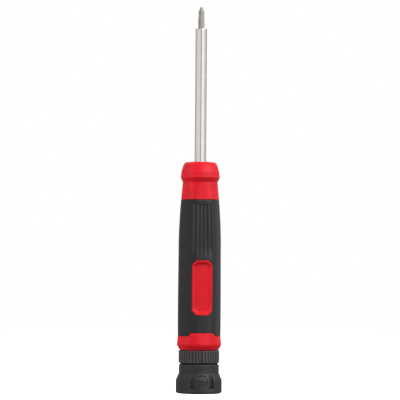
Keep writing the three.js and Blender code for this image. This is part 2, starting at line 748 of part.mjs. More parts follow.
function screwWasher() {
  const hole = SCREW_DIAMETER / 2 + SEAT_GAP;
  return ringSolid(hole, SCREW_WASHER_DIAMETER / 2, screwWasherTop - WASHER_THICKNESS, screwWasherTop, SMALL_SIDES);
}

function pivotScrew() {
  const head = SCREW_HEAD_DIAMETER / 2;
  const shank = SCREW_DIAMETER / 2;
  const foot = screwHeadTop - SCREW_HEAD_HEIGHT;
  const blank = solidOf(revolve([
    [0, foot],
    [head - SCREW_HEAD_HEIGHT / 3, foot],
    [head, foot + SCREW_HEAD_HEIGHT / 2],
    [head, screwHeadTop],
    [shank, screwHeadTop],
    [shank, screwHeadTop + SCREW_LENGTH],
    [0, screwHeadTop + SCREW_LENGTH],
  ], TIP_SIDES));
  const low = foot - OVERSHOOT;
  const high = foot + SCREW_DRIVE_DEPTH;
  return blank
    .subtract(boxSolid(SCREW_DRIVE_SPAN, SCREW_DRIVE_WIDTH, low, high))
    .subtract(boxSolid(SCREW_DRIVE_WIDTH, SCREW_DRIVE_SPAN, low, high));
}

const finishes = {
  redPlastic: { color: 0xd82f3a, roughness: 0.42, metalness: 0 },
  softGrip: { color: 0x343234, roughness: 0.72, metalness: 0 },
  blackPlastic: { color: 0x3c393a, roughness: 0.5, metalness: 0 },
  carrierPlastic: { color: 0x2c2b2d, roughness: 0.55, metalness: 0 },
  shaftSteel: { color: 0xc9c5bf, roughness: 0.22, metalness: 1 },
  bitSteel: { color: 0x9d9a92, roughness: 0.4, metalness: 1 },
  springSteel: { color: 0x77777a, roughness: 0.4, metalness: 1 },
  magnet: { color: 0x9b9b9d, roughness: 0.3, metalness: 1 },
  bearingPlastic: { color: 0xdedbd2, roughness: 0.45, metalness: 0 },
  sealRubber: { color: 0x141414, roughness: 0.8, metalness: 0 },
};

const group = new THREE.Group();

function addPiece(name, solid, finish) {
  const mesh = new THREE.Mesh(geometryOf(solid), new THREE.MeshStandardMaterial(finishes[finish]));
  mesh.name = name;
  group.add(mesh);
  return mesh;
}

addPiece("handle_core", handleCore(), "redPlastic");
addPiece("grip_sleeve", gripSleeve(), "softGrip");
addPiece("shaft", shaft(), "shaftSteel");
addPiece("socket_magnet", socketMagnet(), "magnet");
addPiece("ring_clip", ringClip(), "springSteel");
addPiece("ring_body", ringBody(), "blackPlastic");
addPiece("bayonet_plate", bayonetPlate(), "springSteel");
addPiece("bit_carrier", bitCarrier(), "carrierPlastic");
addPiece("thrust_washer", thrustWasher(), "bearingPlastic");
addPiece("screw_washer", screwWasher(), "springSteel");
addPiece("pivot_screw", pivotScrew(), "springSteel");
addPiece("end_cap", endCap(), "blackPlastic");
addPiece("cap_seal", capSeal(), "sealRubber");
addPiece("cap_plug", capPlug(), "blackPlastic");

// The bit in the shaft has one wing of its cross towards the front.
const driverBit = addPiece("driver_bit", bit("cross", DRIVER_TIP_DIAMETER), "bitSteel");
driverBit.position.z = bitFoot;

// The spare bits, each with its kind of tip and the tip's diameter, tier by tier from the front.
const spareTips = [
  ["cross", 2.8], ["cross", 2.3], ["cross", 1.8], ["blade", 3.0], ["blade", 2.4], ["blade", 1.8],
  ["star", 2.8], ["star", 2.3], ["star", 1.8], ["hexagon", 2.6], ["hexagon", 2.0], ["square", 2.4],
];

pockets().forEach(({ tier, direction }, i) => {
  const [kind, diameter] = spareTips[i % spareTips.length];
  const spare = addPiece(`stored_bit_${i + 1}`, bit(kind, diameter), "bitSteel");
  spare.rotation.z = direction;
  spare.position.set(bitCircle * Math.cos(direction), bitCircle * Math.sin(direction), tierFoot(tier) + SEAT_GAP);
});

export default group;
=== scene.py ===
"""Looks of a multi-bit screwdriver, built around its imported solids.

Pieces are modelled in millimetres, stand on the cap with the shaft up +Z, and face -Y.
Angles run round the axis from the front, towards +X.
"""

import math

import bmesh
import bpy
import numpy as np
from mathutils import Matrix, Vector

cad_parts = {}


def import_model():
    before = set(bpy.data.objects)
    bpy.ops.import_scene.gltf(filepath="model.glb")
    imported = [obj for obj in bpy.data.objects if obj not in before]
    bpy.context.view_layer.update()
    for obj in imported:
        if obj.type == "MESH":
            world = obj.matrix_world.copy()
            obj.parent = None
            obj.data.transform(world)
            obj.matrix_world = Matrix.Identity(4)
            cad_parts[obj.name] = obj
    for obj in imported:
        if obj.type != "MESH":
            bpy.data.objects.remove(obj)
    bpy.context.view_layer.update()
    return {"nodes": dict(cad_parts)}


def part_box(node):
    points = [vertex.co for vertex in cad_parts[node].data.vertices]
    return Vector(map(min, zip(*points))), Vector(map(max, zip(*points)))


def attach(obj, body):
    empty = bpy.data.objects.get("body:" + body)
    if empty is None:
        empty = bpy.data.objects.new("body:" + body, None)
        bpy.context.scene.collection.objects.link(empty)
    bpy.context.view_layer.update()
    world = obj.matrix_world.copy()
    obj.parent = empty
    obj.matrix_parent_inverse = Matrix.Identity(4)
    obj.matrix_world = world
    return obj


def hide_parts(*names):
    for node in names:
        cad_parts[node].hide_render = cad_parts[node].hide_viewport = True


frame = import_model()

MM = 0.001


def box_mm(node):
    low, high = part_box(node)
    return Vector(low) / MM, Vector(high) / MM


# Heights and radii that the frame gives
grip_low, grip_high = box_mm("grip_sleeve")
core_low, core_high = box_mm("handle_core")
ring_low, ring_high = box_mm("ring_body")
cap_high = box_mm("end_cap")[1]
shaft_low, shaft_high = box_mm("shaft")
bit_low, bit_high = box_mm("driver_bit")
seal_low, seal_high = box_mm("cap_seal")
plug_low, plug_high = box_mm("cap_plug")
clip_low, clip_high = box_mm("ring_clip")
plate_high = box_mm("bayonet_plate")[1]
carrier_high = box_mm("bit_carrier")[1]

GRIP_FOOT, GRIP_TOP = grip_low.z, grip_high.z
GRIP_RADIUS = grip_high.x
SPIGOT_FOOT, NOSE_TOP = core_low.z, core_high.z
RING_FOOT, RING_TOP = ring_low.z, ring_high.z
SHAFT_FOOT, SHAFT_TOP = shaft_low.z, shaft_high.z
CAP_RIM = cap_high.x
LUG_TOP = cap_high.z
RING_RADIUS = CAP_RIM - 1.47
SKIN_RISE = 0.13

# Clearances and seams
SEAM = 0.06
SEAT_GAP = 0.1
RUN_GAP = 0.2

# Handle
GRIP_WALL = 1.6
GRIP_TOP_RADIUS = RING_RADIUS - 0.53
GRIP_KNEE_DROP = 18.1
GRIP_SWELL_DROP = 29.0
GRIP_SWELL_INSET = 0.15
GRIP_FULL_DROP = 55.0
GRIP_EDGE = 0.22
LIP_HEIGHT = 1.7
LIP_GROOVE_WIDTH = 0.6
LIP_GROOVE_DEPTH = 0.28
FACET_COUNT = 6
FACET_DEPTH = 0.64
BAND_FOOT = RING_TOP + 0.3
BAND_BELLY = BAND_FOOT + 3.1
BAND_RADIUS = core_high.x
BAND_EDGE_RADIUS = RING_RADIUS - 0.3
BORE_RADIUS = RING_RADIUS - 3.3
BORE_TOP = carrier_high.z + 2.0
SPIGOT_RADIUS = BORE_RADIUS + 1.2
CLIP_GROOVE = 0.5
KEYWAY_REACH = BORE_RADIUS + 0.4
KEYWAY_ANGLE = 8.2
KEYWAY_WALL = (8.05, 8.46)
NECK_FOOT_RADIUS = RING_RADIUS - 1.54
NOSE_FOOT = NOSE_TOP - 12.0
NOSE_LIP = NOSE_FOOT + 2.8
NOSE_RADIUS = RING_RADIUS - 0.4
NOSE_ROUNDNESS = 0.85
SHAFT_HOLE = 3.38

# Flutes in front and at the back of the grip
FLUTE_COUNT = 5
FLUTE_PITCH = math.radians(11)
FLUTE_RADIUS = 1.5
FLUTE_DEPTH = 0.6
FLUTE_TOP = GRIP_TOP - 2.4
FLUTE_FOOT = FLUTE_TOP - 31.4
FLUTE_TOP_RUN = 0.5
FLUTE_FOOT_RUN = 8.0

# Window in front
WINDOW_HALF_WIDTH = 5.85
WINDOW_HALF_HEIGHT = 15.55
WINDOW_CORNER = 2.5
WINDOW_ROUND = 1.4
WINDOW_MIDDLE = GRIP_FOOT + 11.9 + WINDOW_HALF_HEIGHT
WINDOW_DEPTH = 1.5
WINDOW_RIM = 0.85
WINDOW_WALL = 0.8
WINDOW_END_RIM = 0.3
WINDOW_END_WALL = 0.05
WINDOW_RIM_EDGE = 0.25
WINDOW_BRINK = 0.2
WINDOW_TOE = 0.12
PATCH_ANGLE = math.radians(36)
PATCH_MARGIN = 0.55
PATCH_LOW = WINDOW_MIDDLE - WINDOW_HALF_HEIGHT - PATCH_MARGIN
PATCH_HIGH = WINDOW_MIDDLE + WINDOW_HALF_HEIGHT + PATCH_MARGIN
WINDOW_LIP = 0.14

# Tab of the band, which rises into the foot of the grip in front and at the back
TAB_HALF = 6.15
TAB_FOOT_HALF = 8.05
TAB_HEIGHT = 1.9
TAB_FADE = 7.0


def smooth(low, high, value):
    """0 below low, 1 above high, with an even ease between them."""
    share = np.clip((value - low) / (high - low), 0, 1)
    return share * share * (3 - 2 * share)


def rounded(corners, steps=5):
    """A path of (x, y, radius) corners as points, each corner rounded to its radius."""
    places = [Vector(c[:2]) for c in corners]
    points = [places[0]]
    for before, here, after, corner in zip(places, places[1:], places[2:], corners[1:]):
        into, out = (before - here), (after - here)
        angle = into.angle(out)
        reach = min(corner[2] / max(math.tan(angle / 2), 1e-6), into.length * 0.49, out.length * 0.49)
        if corner[2] <= 0 or reach < 1e-4:
            points.append(here)
            continue
        start, end = here + into.normalized() * reach, here + out.normalized() * reach
        for i in range(steps + 1):
            t = i / steps
            points.append(start * (1 - t) ** 2 + here * (2 * t * (1 - t)) + end * t * t)
    points.append(places[-1])
    return np.array([(p.x, p.y) for p in points])


def divided(path, longest):
    """The same path with no stretch longer than a length."""
    pieces = [path[:1]]
    for a, b in zip(path, path[1:]):
        count = max(1, math.ceil(np.hypot(*(b - a)) / longest))
        pieces.append(a + (b - a) * (np.arange(1, count + 1) / count)[:, None])
    return np.concatenate(pieces)


def round_angles(step):
    """Even angles once round, in degrees of step, with the front in the middle."""
    return np.radians(np.arange(-180, 180, step))


def turned_points(radius, height, angle):
    """Points at a radius, height and angle from the front."""
    radius, height, angle = np.broadcast_arrays(radius, height, angle)
    return np.stack([radius * np.sin(angle), -radius * np.cos(angle), height], axis=-1)


def placed(name, data):
    """A new object in the scene."""
    thing = bpy.data.objects.new(name, data)
    bpy.context.scene.collection.objects.link(thing)
    return thing


class Skin:
    """The points and faces of one piece, gathered in millimetres and made into an object."""

    def __init__(self):
        self.points = []
        self.faces = []
        self.count = 0

    def add(self, points):
        flat = np.asarray(points, float).reshape(-1, 3)
        index = np.arange(self.count, self.count + len(flat))
        self.points.append(flat)
        self.count += len(flat)
        return index.reshape(np.shape(points)[:-1])

    def bridge(self, lower, upper, keep=slice(None)):
        """Quads between two closed rows of the same length, or those of them to keep."""
        quads = np.stack([lower, np.roll(lower, -1), np.roll(upper, -1), upper], axis=-1)
        self.faces.extend(quads[keep].tolist())

    def grid(self, points, wrap_rows=False, holes=()):
        """Rows of points that each close round. A hole is (low row, high row, left column, right column)."""
        index = self.add(points)
        rows = len(index) if wrap_rows else len(index) - 1
        for i in range(rows):
            keep = np.ones(len(index[i]), bool)
            for low, high, left, right in holes:
                if low <= i < high:
                    keep[left:right] = False
            self.bridge(index[i], index[(i + 1) % len(index)], keep)
        return index

    def rings(self, loops):
        """Bridges a run of loops. Each is new points or the indices of earlier ones."""
        run = [loop if np.ndim(loop) == 1 else self.add(loop) for loop in loops]
        for last, index in zip(run, run[1:]):
            self.bridge(last, index)

    def build(self, name, body, material, replaces=(), sharp=None):
        mesh = bpy.data.meshes.new(name)
        mesh.from_pydata((np.concatenate(self.points) * MM).tolist(), [], self.faces)
        work = bmesh.new()
        work.from_mesh(mesh)
        bmesh.ops.remove_doubles(work, verts=work.verts, dist=2e-4 * MM)
        bmesh.ops.dissolve_degenerate(work, edges=work.edges, dist=1e-4 * MM)
        bmesh.ops.recalc_face_normals(work, faces=work.faces)
        work.to_mesh(mesh)
        work.free()
        mesh.shade_smooth()
        if sharp is not None:
            mesh.set_sharp_from_angle(angle=math.radians(sharp))
        piece = placed(name, mesh)
        mesh.materials.append(material)
        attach(piece, body)
        if replaces:
            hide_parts(*replaces)


# Materials


def new_material(name):
    """A material with nodes, and its node tree."""
    material = bpy.data.materials.new(name)
    material.use_nodes = True
    return material, material.node_tree


def maths(tree, operation, *values):
    """The result of a Math node. Each value is a number or the output of another node."""
    node = tree.nodes.new("ShaderNodeMath")
    node.operation = operation
    for socket, value in zip(node.inputs, values):
        if isinstance(value, float):
            socket.default_value = value
        else:
            tree.links.new(value, socket)
    return node.outputs["Value"]


def colour_mix(tree):
    """A Mix node for colours: its factor, its two colours and its result."""
    node = tree.nodes.new("ShaderNodeMix")
    node.data_type = "RGBA"
    colours = [s for s in node.inputs if s.type == "RGBA"]
    result = next(s for s in node.outputs if s.type == "RGBA")
    return node.inputs["Factor"], colours, result


def shade(colour, factor):
    return tuple(c * factor for c in colour)


class Finish:
    """A Principled material and the texture nodes that feed it, in the piece's own coordinates."""

    def __init__(self, name, metallic=0.0, specular=0.5):
        self.material, self.tree = new_material(name)
        self.nodes, self.links = self.tree.nodes, self.tree.links
        self.shader = self.nodes["Principled BSDF"]
        self.shader.inputs["Metallic"].default_value = metallic
        self.shader.inputs["Specular IOR Level"].default_value = specular
        self.colour = None
        self.roughness = None
        self.place = self.nodes.new("ShaderNodeTexCoord").outputs["Object"]
        self.bumps = None

    def noise(self, size, detail, stretch=(1, 1, 1)):
        """Noise with features of a size in millimetres, drawn out along the axes by stretch."""
        place = self.nodes.new("ShaderNodeMapping")
        place.inputs["Scale"].default_value = [1 / s for s in stretch]
        self.links.new(self.place, place.inputs["Vector"])
        noise = self.nodes.new("ShaderNodeTexNoise")
        noise.inputs["Scale"].default_value = 1 / (size * MM)
        noise.inputs["Detail"].default_value = detail
        self.links.new(place.outputs["Vector"], noise.inputs["Vector"])
        return noise.outputs["Fac"]

    def ramp(self, value, low, high, first, last):
        """Maps low..high of a value to first..last."""
        node = self.nodes.new("ShaderNodeMapRange")
        for socket, number in zip(("From Min", "From Max", "To Min", "To Max"), (low, high, first, last)):
            node.inputs[socket].default_value = number
        self.links.new(value, node.inputs["Value"])
        return node.outputs["Result"]

    def mix(self, share, first, second):
        """Blends two colours. Each is a colour or the output of another node."""
        factor, sockets, result = colour_mix(self.tree)
        self.links.new(share, factor)
        for socket, colour in zip(sockets, (first, second)):
            if isinstance(colour, tuple):
                socket.default_value = (*colour, 1)
            else:
                self.links.new(colour, socket)
        return result

    def mottle(self, patches, spread, colour, dark, light):
        """A colour that changes with patches from a dark shade of it to a light one."""
        share = self.ramp(patches, 0.5 - spread, 0.5 + spread, 0, 1)
        return self.mix(share, shade(colour, dark), shade(colour, light))

    def edges(self, first, last, low=0.52, high=0.6):
        """A value from first on the flat to last on outer edges, or in hollows where high is below low."""
        pointiness = self.nodes.new("ShaderNodeNewGeometry").outputs["Pointiness"]
        return self.ramp(pointiness, low, high, first, last)

    def bump(self, value, height):
        """Adds relief from a value, of a height in millimetres."""
        node = self.nodes.new("ShaderNodeBump")
        node.inputs["Strength"].default_value = 1.0
        node.inputs["Distance"].default_value = height * MM
        self.links.new(value, node.inputs["Height"])
        if self.bumps is not None:
            self.links.new(self.bumps, node.inputs["Normal"])
        self.bumps = node.outputs["Normal"]

    def done(self):
        self.links.new(self.colour, self.shader.inputs["Base Color"])
        self.links.new(self.roughness, self.shader.inputs["Roughness"])
        if self.bumps is not None:
            self.links.new(self.bumps, self.shader.inputs["Normal"])
        return self.material


def red_plastic():
    red = (0.77, 0.0055, 0.017)
    finish = Finish("red_plastic", specular=0.22)
    patches = finish.noise(9, detail=3)
    grain = finish.noise(0.16, detail=1)
    tint = finish.mottle(patches, 0.15, red, 0.95, 1.04)
    finish.colour = finish.mix(finish.edges(0, 0.25), tint, (0.8, 0.04, 0.05))
    finish.roughness = finish.ramp(patches, 0.3, 0.7, 0.4, 0.48)
    finish.bump(grain, 0.012)
    return finish.done()


def grip_rubber():
    black = (0.0115, 0.0112, 0.0115)
    finish = Finish("grip_rubber", specular=0.4)
    patches = finish.noise(6, detail=4)
    grain = finish.noise(0.22, detail=2)
    tint = finish.mottle(patches, 0.2, black, 0.9, 1.12)
    finish.colour = finish.mix(finish.edges(0, 0.4), tint, (0.022, 0.0215, 0.022))
    dull = finish.ramp(grain, 0.3, 0.7, 0.36, 0.46)
    flutes = finish.edges(0, 0.12, 0.5, 0.47)
    finish.roughness = maths(finish.tree, "SUBTRACT", dull, flutes)
    finish.bump(grain, 0.02)
    finish.shader.inputs["Sheen Weight"].default_value = 0.06
    finish.shader.inputs["Sheen Roughness"].default_value = 0.5
    return finish.done()


def black_plastic(name, black):
    """Hard plastic with painted highlights on its outer edges, and with painted shade in its hollows, which
    are also duller.
    """
    finish = Finish(name)
    patches = finish.noise(5, detail=3)
    grain = finish.noise(0.13, detail=2)
    tint = finish.mottle(patches, 0.2, black, 0.92, 1.1)
    # Painted highlight: outer edges are drawn up to four times lighter, as if they caught the light.
    lit = finish.mix(finish.edges(0, 0.8, 0.508, 0.54), tint, shade(black, 4))
    # Painted shade: hollows, such as the cut signs and the knurl grooves, are darkened to a fifth of the
    # colour and lose most of their gloss.
    hollows = (0.496, 0.465)
    finish.colour = finish.mix(finish.edges(0, 0.85, *hollows), lit, shade(black, 0.2))
    finish.links.new(finish.edges(0.4, 0.08, *hollows), finish.shader.inputs["Specular IOR Level"])
    finish.roughness = finish.ramp(grain, 0.3, 0.7, 0.42, 0.58)
    finish.bump(grain, 0.014)
    return finish.done()


def plain_plastic(name, colour, roughness):
    finish = Finish(name, specular=0.4)
    patches = finish.noise(3, detail=3)
    grain = finish.noise(0.15, detail=2)
    tint = finish.mottle(patches, 0.2, colour, 0.9, 1.1)
    finish.colour = finish.mix(finish.edges(0, 0.3), tint, shade(colour, 1.6))
    finish.roughness = finish.ramp(grain, 0.3, 0.7, roughness - 0.07, roughness + 0.07)
    finish.bump(grain, 0.012)
    return finish.done()


def steel(name, colour, roughness, lines, grain):
    """Metal with turning lines round the axis and a fine grain. Both are heights in millimetres."""
    finish = Finish(name, metallic=1.0)
    patches = finish.noise(4, detail=4)
    turning = finish.noise(0.3, detail=2, stretch=(60, 60, 1))
    pits = finish.noise(0.25, detail=2)
    tint = finish.mottle(patches, 0.15, colour, 0.95, 1.04)
    finish.colour = finish.mix(finish.ramp(turning, 0.3, 0.7, 0, 0.3), tint, shade(colour, 0.9))
    finish.roughness = finish.ramp(patches, 0.3, 0.7, roughness * 0.9, roughness * 1.15)
    finish.bump(turning, lines)
    finish.bump(pits, grain)
    return finish.done()


red = red_plastic()
rubber = grip_rubber()
black = black_plastic("black_plastic", (0.0215, 0.0197, 0.0198))
ring_black = black_plastic("ring_plastic", (0.039, 0.035, 0.0336))
shaft_steel = steel("shaft_steel", (0.82, 0.79, 0.74), 0.08, lines=0.0001, grain=0.00004)
bit_steel = steel("bit_steel", (0.59, 0.557, 0.527), 0.78, lines=0.0002, grain=0.0004)
spring_steel = steel("spring_steel", (0.30, 0.30, 0.31), 0.38, lines=0.0015, grain=0.002)
magnet_nickel = steel("magnet_nickel", (0.6, 0.6, 0.6), 0.22, lines=0.0005, grain=0.0005)
carrier_plastic = plain_plastic("carrier_plastic", (0.024, 0.024, 0.026), 0.52)
bearing_plastic = plain_plastic("bearing_plastic", (0.70, 0.68, 0.62), 0.45)
# Near-black rubber for the seal, which also serves as painted shade in the gap between cap and ring.
seal_rubber = plain_plastic("seal_rubber", (0.008, 0.008, 0.008), 0.7)


# Forms that the handle's pieces share


def facet_drop(angle, height):
    """How far the soft hexagon lies inside the round, which it fades to down the band."""
    share = np.clip((height - BAND_BELLY) / (GRIP_FOOT - BAND_BELLY), 0, 1)
    return FACET_DEPTH * share * (1 + np.cos(FACET_COUNT * angle)) / 2


def grip_radius(height):
    """The grip's radius at its corners: straight, then swelling in to the top."""
    t = np.linspace(0, 1, 40)
    swell, knee = GRIP_TOP - GRIP_SWELL_DROP, GRIP_TOP - GRIP_KNEE_DROP
    curve_height = (1 - t) ** 2 * swell + 2 * t * (1 - t) * knee + t * t * GRIP_TOP
    start = GRIP_RADIUS - GRIP_SWELL_INSET
    curve_radius = (1 - t) ** 2 * start + 2 * t * (1 - t) * GRIP_RADIUS + t * t * GRIP_TOP_RADIUS
    heights = np.concatenate([[GRIP_FOOT, GRIP_TOP - GRIP_FULL_DROP], curve_height])
    radii = np.concatenate([[GRIP_RADIUS, GRIP_RADIUS], curve_radius])
    return np.interp(height, heights, radii)


def handle_angles():
    """Angles for the handle's pieces: fine in front and at the back, coarser at the sides."""
    front = np.arange(-45, 45, 0.6)
    side = np.arange(45, 135, 2.5)
    keyway = [90 + sign * wall for sign in (-1, 1) for wall in KEYWAY_WALL]
    every = np.concatenate([front, side, keyway, front + 180, -side])
    every = (every + 180) % 360 - 180
    return np.radians(np.unique(np.round(every, 3)))


def tab_rise(angle, height):
    """How far the seam at the foot of the grip is lifted by the band's tabs. It fades up the handle."""
    across = np.abs(GRIP_RADIUS * np.sin(angle))
    slope = (TAB_FOOT_HALF - across) / (TAB_FOOT_HALF - TAB_HALF)
    soft = smooth(-0.12, 1.12, slope) * 0.35 + np.clip(slope, 0, 1) * 0.65
    fade = np.clip(1 - (height - GRIP_FOOT) / TAB_FADE, 0, 1)
    below = np.clip(1 - (GRIP_FOOT - height) / (GRIP_FOOT - BAND_BELLY), 0, 1)
    return TAB_HEIGHT * soft * np.minimum(fade, below)


def flute_depth(angle, height):
    """How deep the flutes cut the grip in front and at the back."""
    side = np.where(np.abs(angle) < math.pi / 2, angle, np.sign(angle) * math.pi - angle)
    middle = (FLUTE_COUNT - 1) / 2
    nearest = np.clip(np.round(side / FLUTE_PITCH), -middle, middle)
    across = (side - nearest * FLUTE_PITCH) * (grip_radius(height) - facet_drop(angle, height))
    cut = np.sqrt(np.clip(FLUTE_RADIUS**2 - across**2, 0, None)) - (FLUTE_RADIUS - FLUTE_DEPTH)
    ends = smooth(FLUTE_FOOT, FLUTE_FOOT + FLUTE_FOOT_RUN, height)
    ends = ends * (1 - smooth(FLUTE_TOP - FLUTE_TOP_RUN, FLUTE_TOP, height))
    return np.clip(cut, 0, None) * ends


def lip_groove(height):
    """A shallow groove under the grip's lip."""
    away = (height - (GRIP_TOP - LIP_HEIGHT - LIP_GROOVE_WIDTH / 2)) / (LIP_GROOVE_WIDTH / 2)
    return LIP_GROOVE_DEPTH * np.clip(1 - away * away, 0, None)


def window_outline(grow, shares, ends=0.0):
    """Points (x, z) round the window's outline, at shares of its length from the foot's middle.

    The outline grows by a length, and its ends draw in by another."""
    x = WINDOW_HALF_WIDTH + grow
    low = WINDOW_MIDDLE - WINDOW_HALF_HEIGHT - grow + ends
    high = WINDOW_MIDDLE + WINDOW_HALF_HEIGHT + grow - ends
    cut = WINDOW_CORNER + grow * (2 - math.sqrt(2))
    turn = max(WINDOW_ROUND + grow, 0.2)
    corners = [
        (0, low, 0), (x - cut, low, turn), (x, low + cut, turn), (x, high - cut, turn),
        (x - cut, high, turn), (cut - x, high, turn), (-x, high - cut, turn), (-x, low + cut, turn),
        (cut - x, low, turn), (0, low, 0),
    ]
    path = rounded(corners)
    length = np.concatenate([[0], np.cumsum(np.hypot(*np.diff(path, axis=0).T))])
    wanted = shares * length[-1]
    return np.stack([np.interp(wanted, length, path[:, 0]), np.interp(wanted, length, path[:, 1])], axis=-1)


def surface_depth(x, height, inset):
    """The Y of the handle's faceted surface, moved in by an inset, at an X and a height in front."""
    angle = np.arcsin(np.clip(x / (grip_radius(height) - inset), -1, 1))
    for _ in range(12):
        radius = grip_radius(height) - inset - facet_drop(angle, height)
        angle = np.arcsin(np.clip(x / radius, -1, 1))
    return -radius * np.cos(angle)


def window_loop(grow, shares, inset=0.0, depth=0.0, ends=0.0):
    """A loop round the window, on the surface moved in by an inset and pushed back by a depth."""
    outline = window_outline(grow, shares, ends)
    x, height = outline[:, 0], outline[:, 1]
    return np.stack([x, surface_depth(x, height, inset) + depth, height], axis=-1)


def edge_steps(radius, count=4):
    """(inset, depth) pairs round a quarter of a rounded edge."""
    turn = np.linspace(0, math.pi / 2, count + 1)
    return list(zip(radius * (1 - np.sin(turn)), radius * (1 - np.cos(turn))))


class WindowPatch:
    """The part of a handle grid that gives way to the window: its rows, columns and the loop round it."""

    def __init__(self, rows, angles):
        inside = np.nonzero((rows > PATCH_LOW - 1e-6) & (rows < PATCH_HIGH + 1e-6))[0]
        columns = np.nonzero(np.abs(angles) < PATCH_ANGLE)[0]
        self.low, self.high = inside[0], inside[-1]
        self.left, self.right = columns[0], columns[-1]
        rows_up = np.arange(self.low, self.high)
        columns_over = np.arange(self.left, self.right)
        row_index = np.concatenate([
            np.full(len(columns_over), self.low), rows_up,
            np.full(len(columns_over), self.high), rows_up[::-1] + 1])
        column_index = np.concatenate([
            columns_over, np.full(len(rows_up), self.right),
            columns_over[::-1] + 1, np.full(len(rows_up), self.left)])
        start = np.argmin(np.abs(angles[columns_over]))
        self.row_index, self.column_index = np.roll(row_index, -start), np.roll(column_index, -start)
        across = angles[self.column_index] * GRIP_RADIUS
        up = rows[self.row_index]
        steps = np.hypot(np.diff(np.append(across, across[0])), np.diff(np.append(up, up[0])))
        self.shares = np.concatenate([[0], np.cumsum(steps)[:-1]]) / steps.sum()

    def hole(self, first_row=0):
        return first_row + self.low, first_row + self.high, self.left, self.right

    def loop(self, index):
        return index[self.row_index, self.column_index]


def handle_rows():
    """Heights of the rows that the grip's outside, the grip's inside and the core share."""
    return np.concatenate([
        np.linspace(GRIP_FOOT + 0.5, GRIP_FOOT + TAB_FADE, 14),
        np.linspace(GRIP_FOOT + TAB_FADE + 1, PATCH_LOW - 0.8, 4),
        np.linspace(PATCH_LOW, PATCH_HIGH, 48),
        np.linspace(FLUTE_FOOT, FLUTE_FOOT + FLUTE_FOOT_RUN, 14),
        np.linspace(FLUTE_FOOT + FLUTE_FOOT_RUN + 0.8, FLUTE_TOP - FLUTE_TOP_RUN - 0.6, 24),
        np.linspace(FLUTE_TOP - FLUTE_TOP_RUN, FLUTE_TOP, 7),
        np.linspace(FLUTE_TOP + 0.12, GRIP_TOP - 0.5, 10),
    ])


def grip():
    """The soft grip: fluted in front and at the back, cut for the window and notched for the band's tabs."""
    angles, rows = handle_angles(), handle_rows()
    foot_edge = [(inset, GRIP_FOOT + SEAM + depth) for inset, depth in edge_steps(GRIP_EDGE)]
    top_edge = [(inset, GRIP_TOP - SEAM - depth) for inset, depth in edge_steps(GRIP_EDGE)][::-1]
    inside = [(GRIP_WALL, z) for z in (GRIP_TOP - SEAM, *rows[::-1], GRIP_FOOT + SEAM)]
    profile = np.array(foot_edge + [(0, z) for z in rows] + top_edge + inside)
    inset, height = profile[:, :1], profile[:, 1:]
    outside = inset < GRIP_WALL
    cut = (flute_depth(angles[None, :], height) + lip_groove(height)) * outside
    radius = grip_radius(height) - inset - facet_drop(angles[None, :], height) - cut
    lifted = height + tab_rise(angles[None, :], height)
    skin = Skin()
    patch = WindowPatch(rows, angles)
    first_out = len(foot_edge)
    first_in = first_out + len(rows) + len(top_edge) + 1
    low, high, left, right = patch.hole()
    inner_hole = (first_in + len(rows) - 1 - high, first_in + len(rows) - 1 - low, left, right)
    holes = [patch.hole(first_out), inner_hole]
    index = skin.grid(turned_points(radius, lifted, angles[None, :]), True, holes)
    outer = index[first_out:first_out + len(rows)]
    inner = index[first_in:first_in + len(rows)][::-1]
    lip = edge_steps(WINDOW_LIP, 3)
    edge = [window_loop(SEAM + inset, patch.shares, depth=depth) for inset, depth in lip]
    boundary = patch.loop(outer)
    middle = (np.concatenate(skin.points)[boundary] + edge[0]) / 2
    middle[:, 1] = surface_depth(middle[:, 0], middle[:, 2], 0)
    wall = window_loop(SEAM, patch.shares, inset=GRIP_WALL)
    skin.rings([boundary, middle, *edge, wall, patch.loop(inner)])
    skin.build("grip", "handle", rubber, ["grip_sleeve"])


def window_floor(shares, inset):
    """A loop on the window's flat floor, drawn in from its edge."""
    outline = window_outline(-WINDOW_RIM - WINDOW_WALL - inset, shares, WINDOW_END_RIM + WINDOW_END_WALL)
    floor = -(GRIP_RADIUS - FACET_DEPTH - WINDOW_DEPTH)
    return np.stack([outline[:, 0], np.full(len(outline), floor), outline[:, 1]], axis=-1)


def window_pad(skin, patch, index):
    """The core's pad that fills the window: a rounded rim round a sunk floor."""
    shares = patch.shares
    foot = window_loop(0, shares, inset=GRIP_WALL + SEAT_GAP)
    rim_edge = edge_steps(WINDOW_RIM_EDGE)[::-1]
    outer_edge = [window_loop(-inset, shares, depth=depth) for inset, depth in rim_edge]
    inner = window_loop(-WINDOW_RIM + WINDOW_BRINK, shares, ends=WINDOW_END_RIM)
    brink = window_loop(-WINDOW_RIM - WINDOW_BRINK / 2, shares, depth=WINDOW_BRINK, ends=WINDOW_END_RIM)
    floor = window_floor(shares, 0)
    wall_foot = floor + (brink - floor) * WINDOW_TOE
    settled = window_floor(shares, WINDOW_BRINK)
    midline = window_floor(shares, 2 * WINDOW_BRINK)
    reach = WINDOW_HALF_HEIGHT - WINDOW_HALF_WIDTH
    midline[:, 0] = 0
    midline[:, 2] = np.clip(midline[:, 2], WINDOW_MIDDLE - reach, WINDOW_MIDDLE + reach)
    skin.rings([patch.loop(index), foot, *outer_edge, inner, brink, wall_foot, settled,
                window_floor(shares, 2 * WINDOW_BRINK), midline])


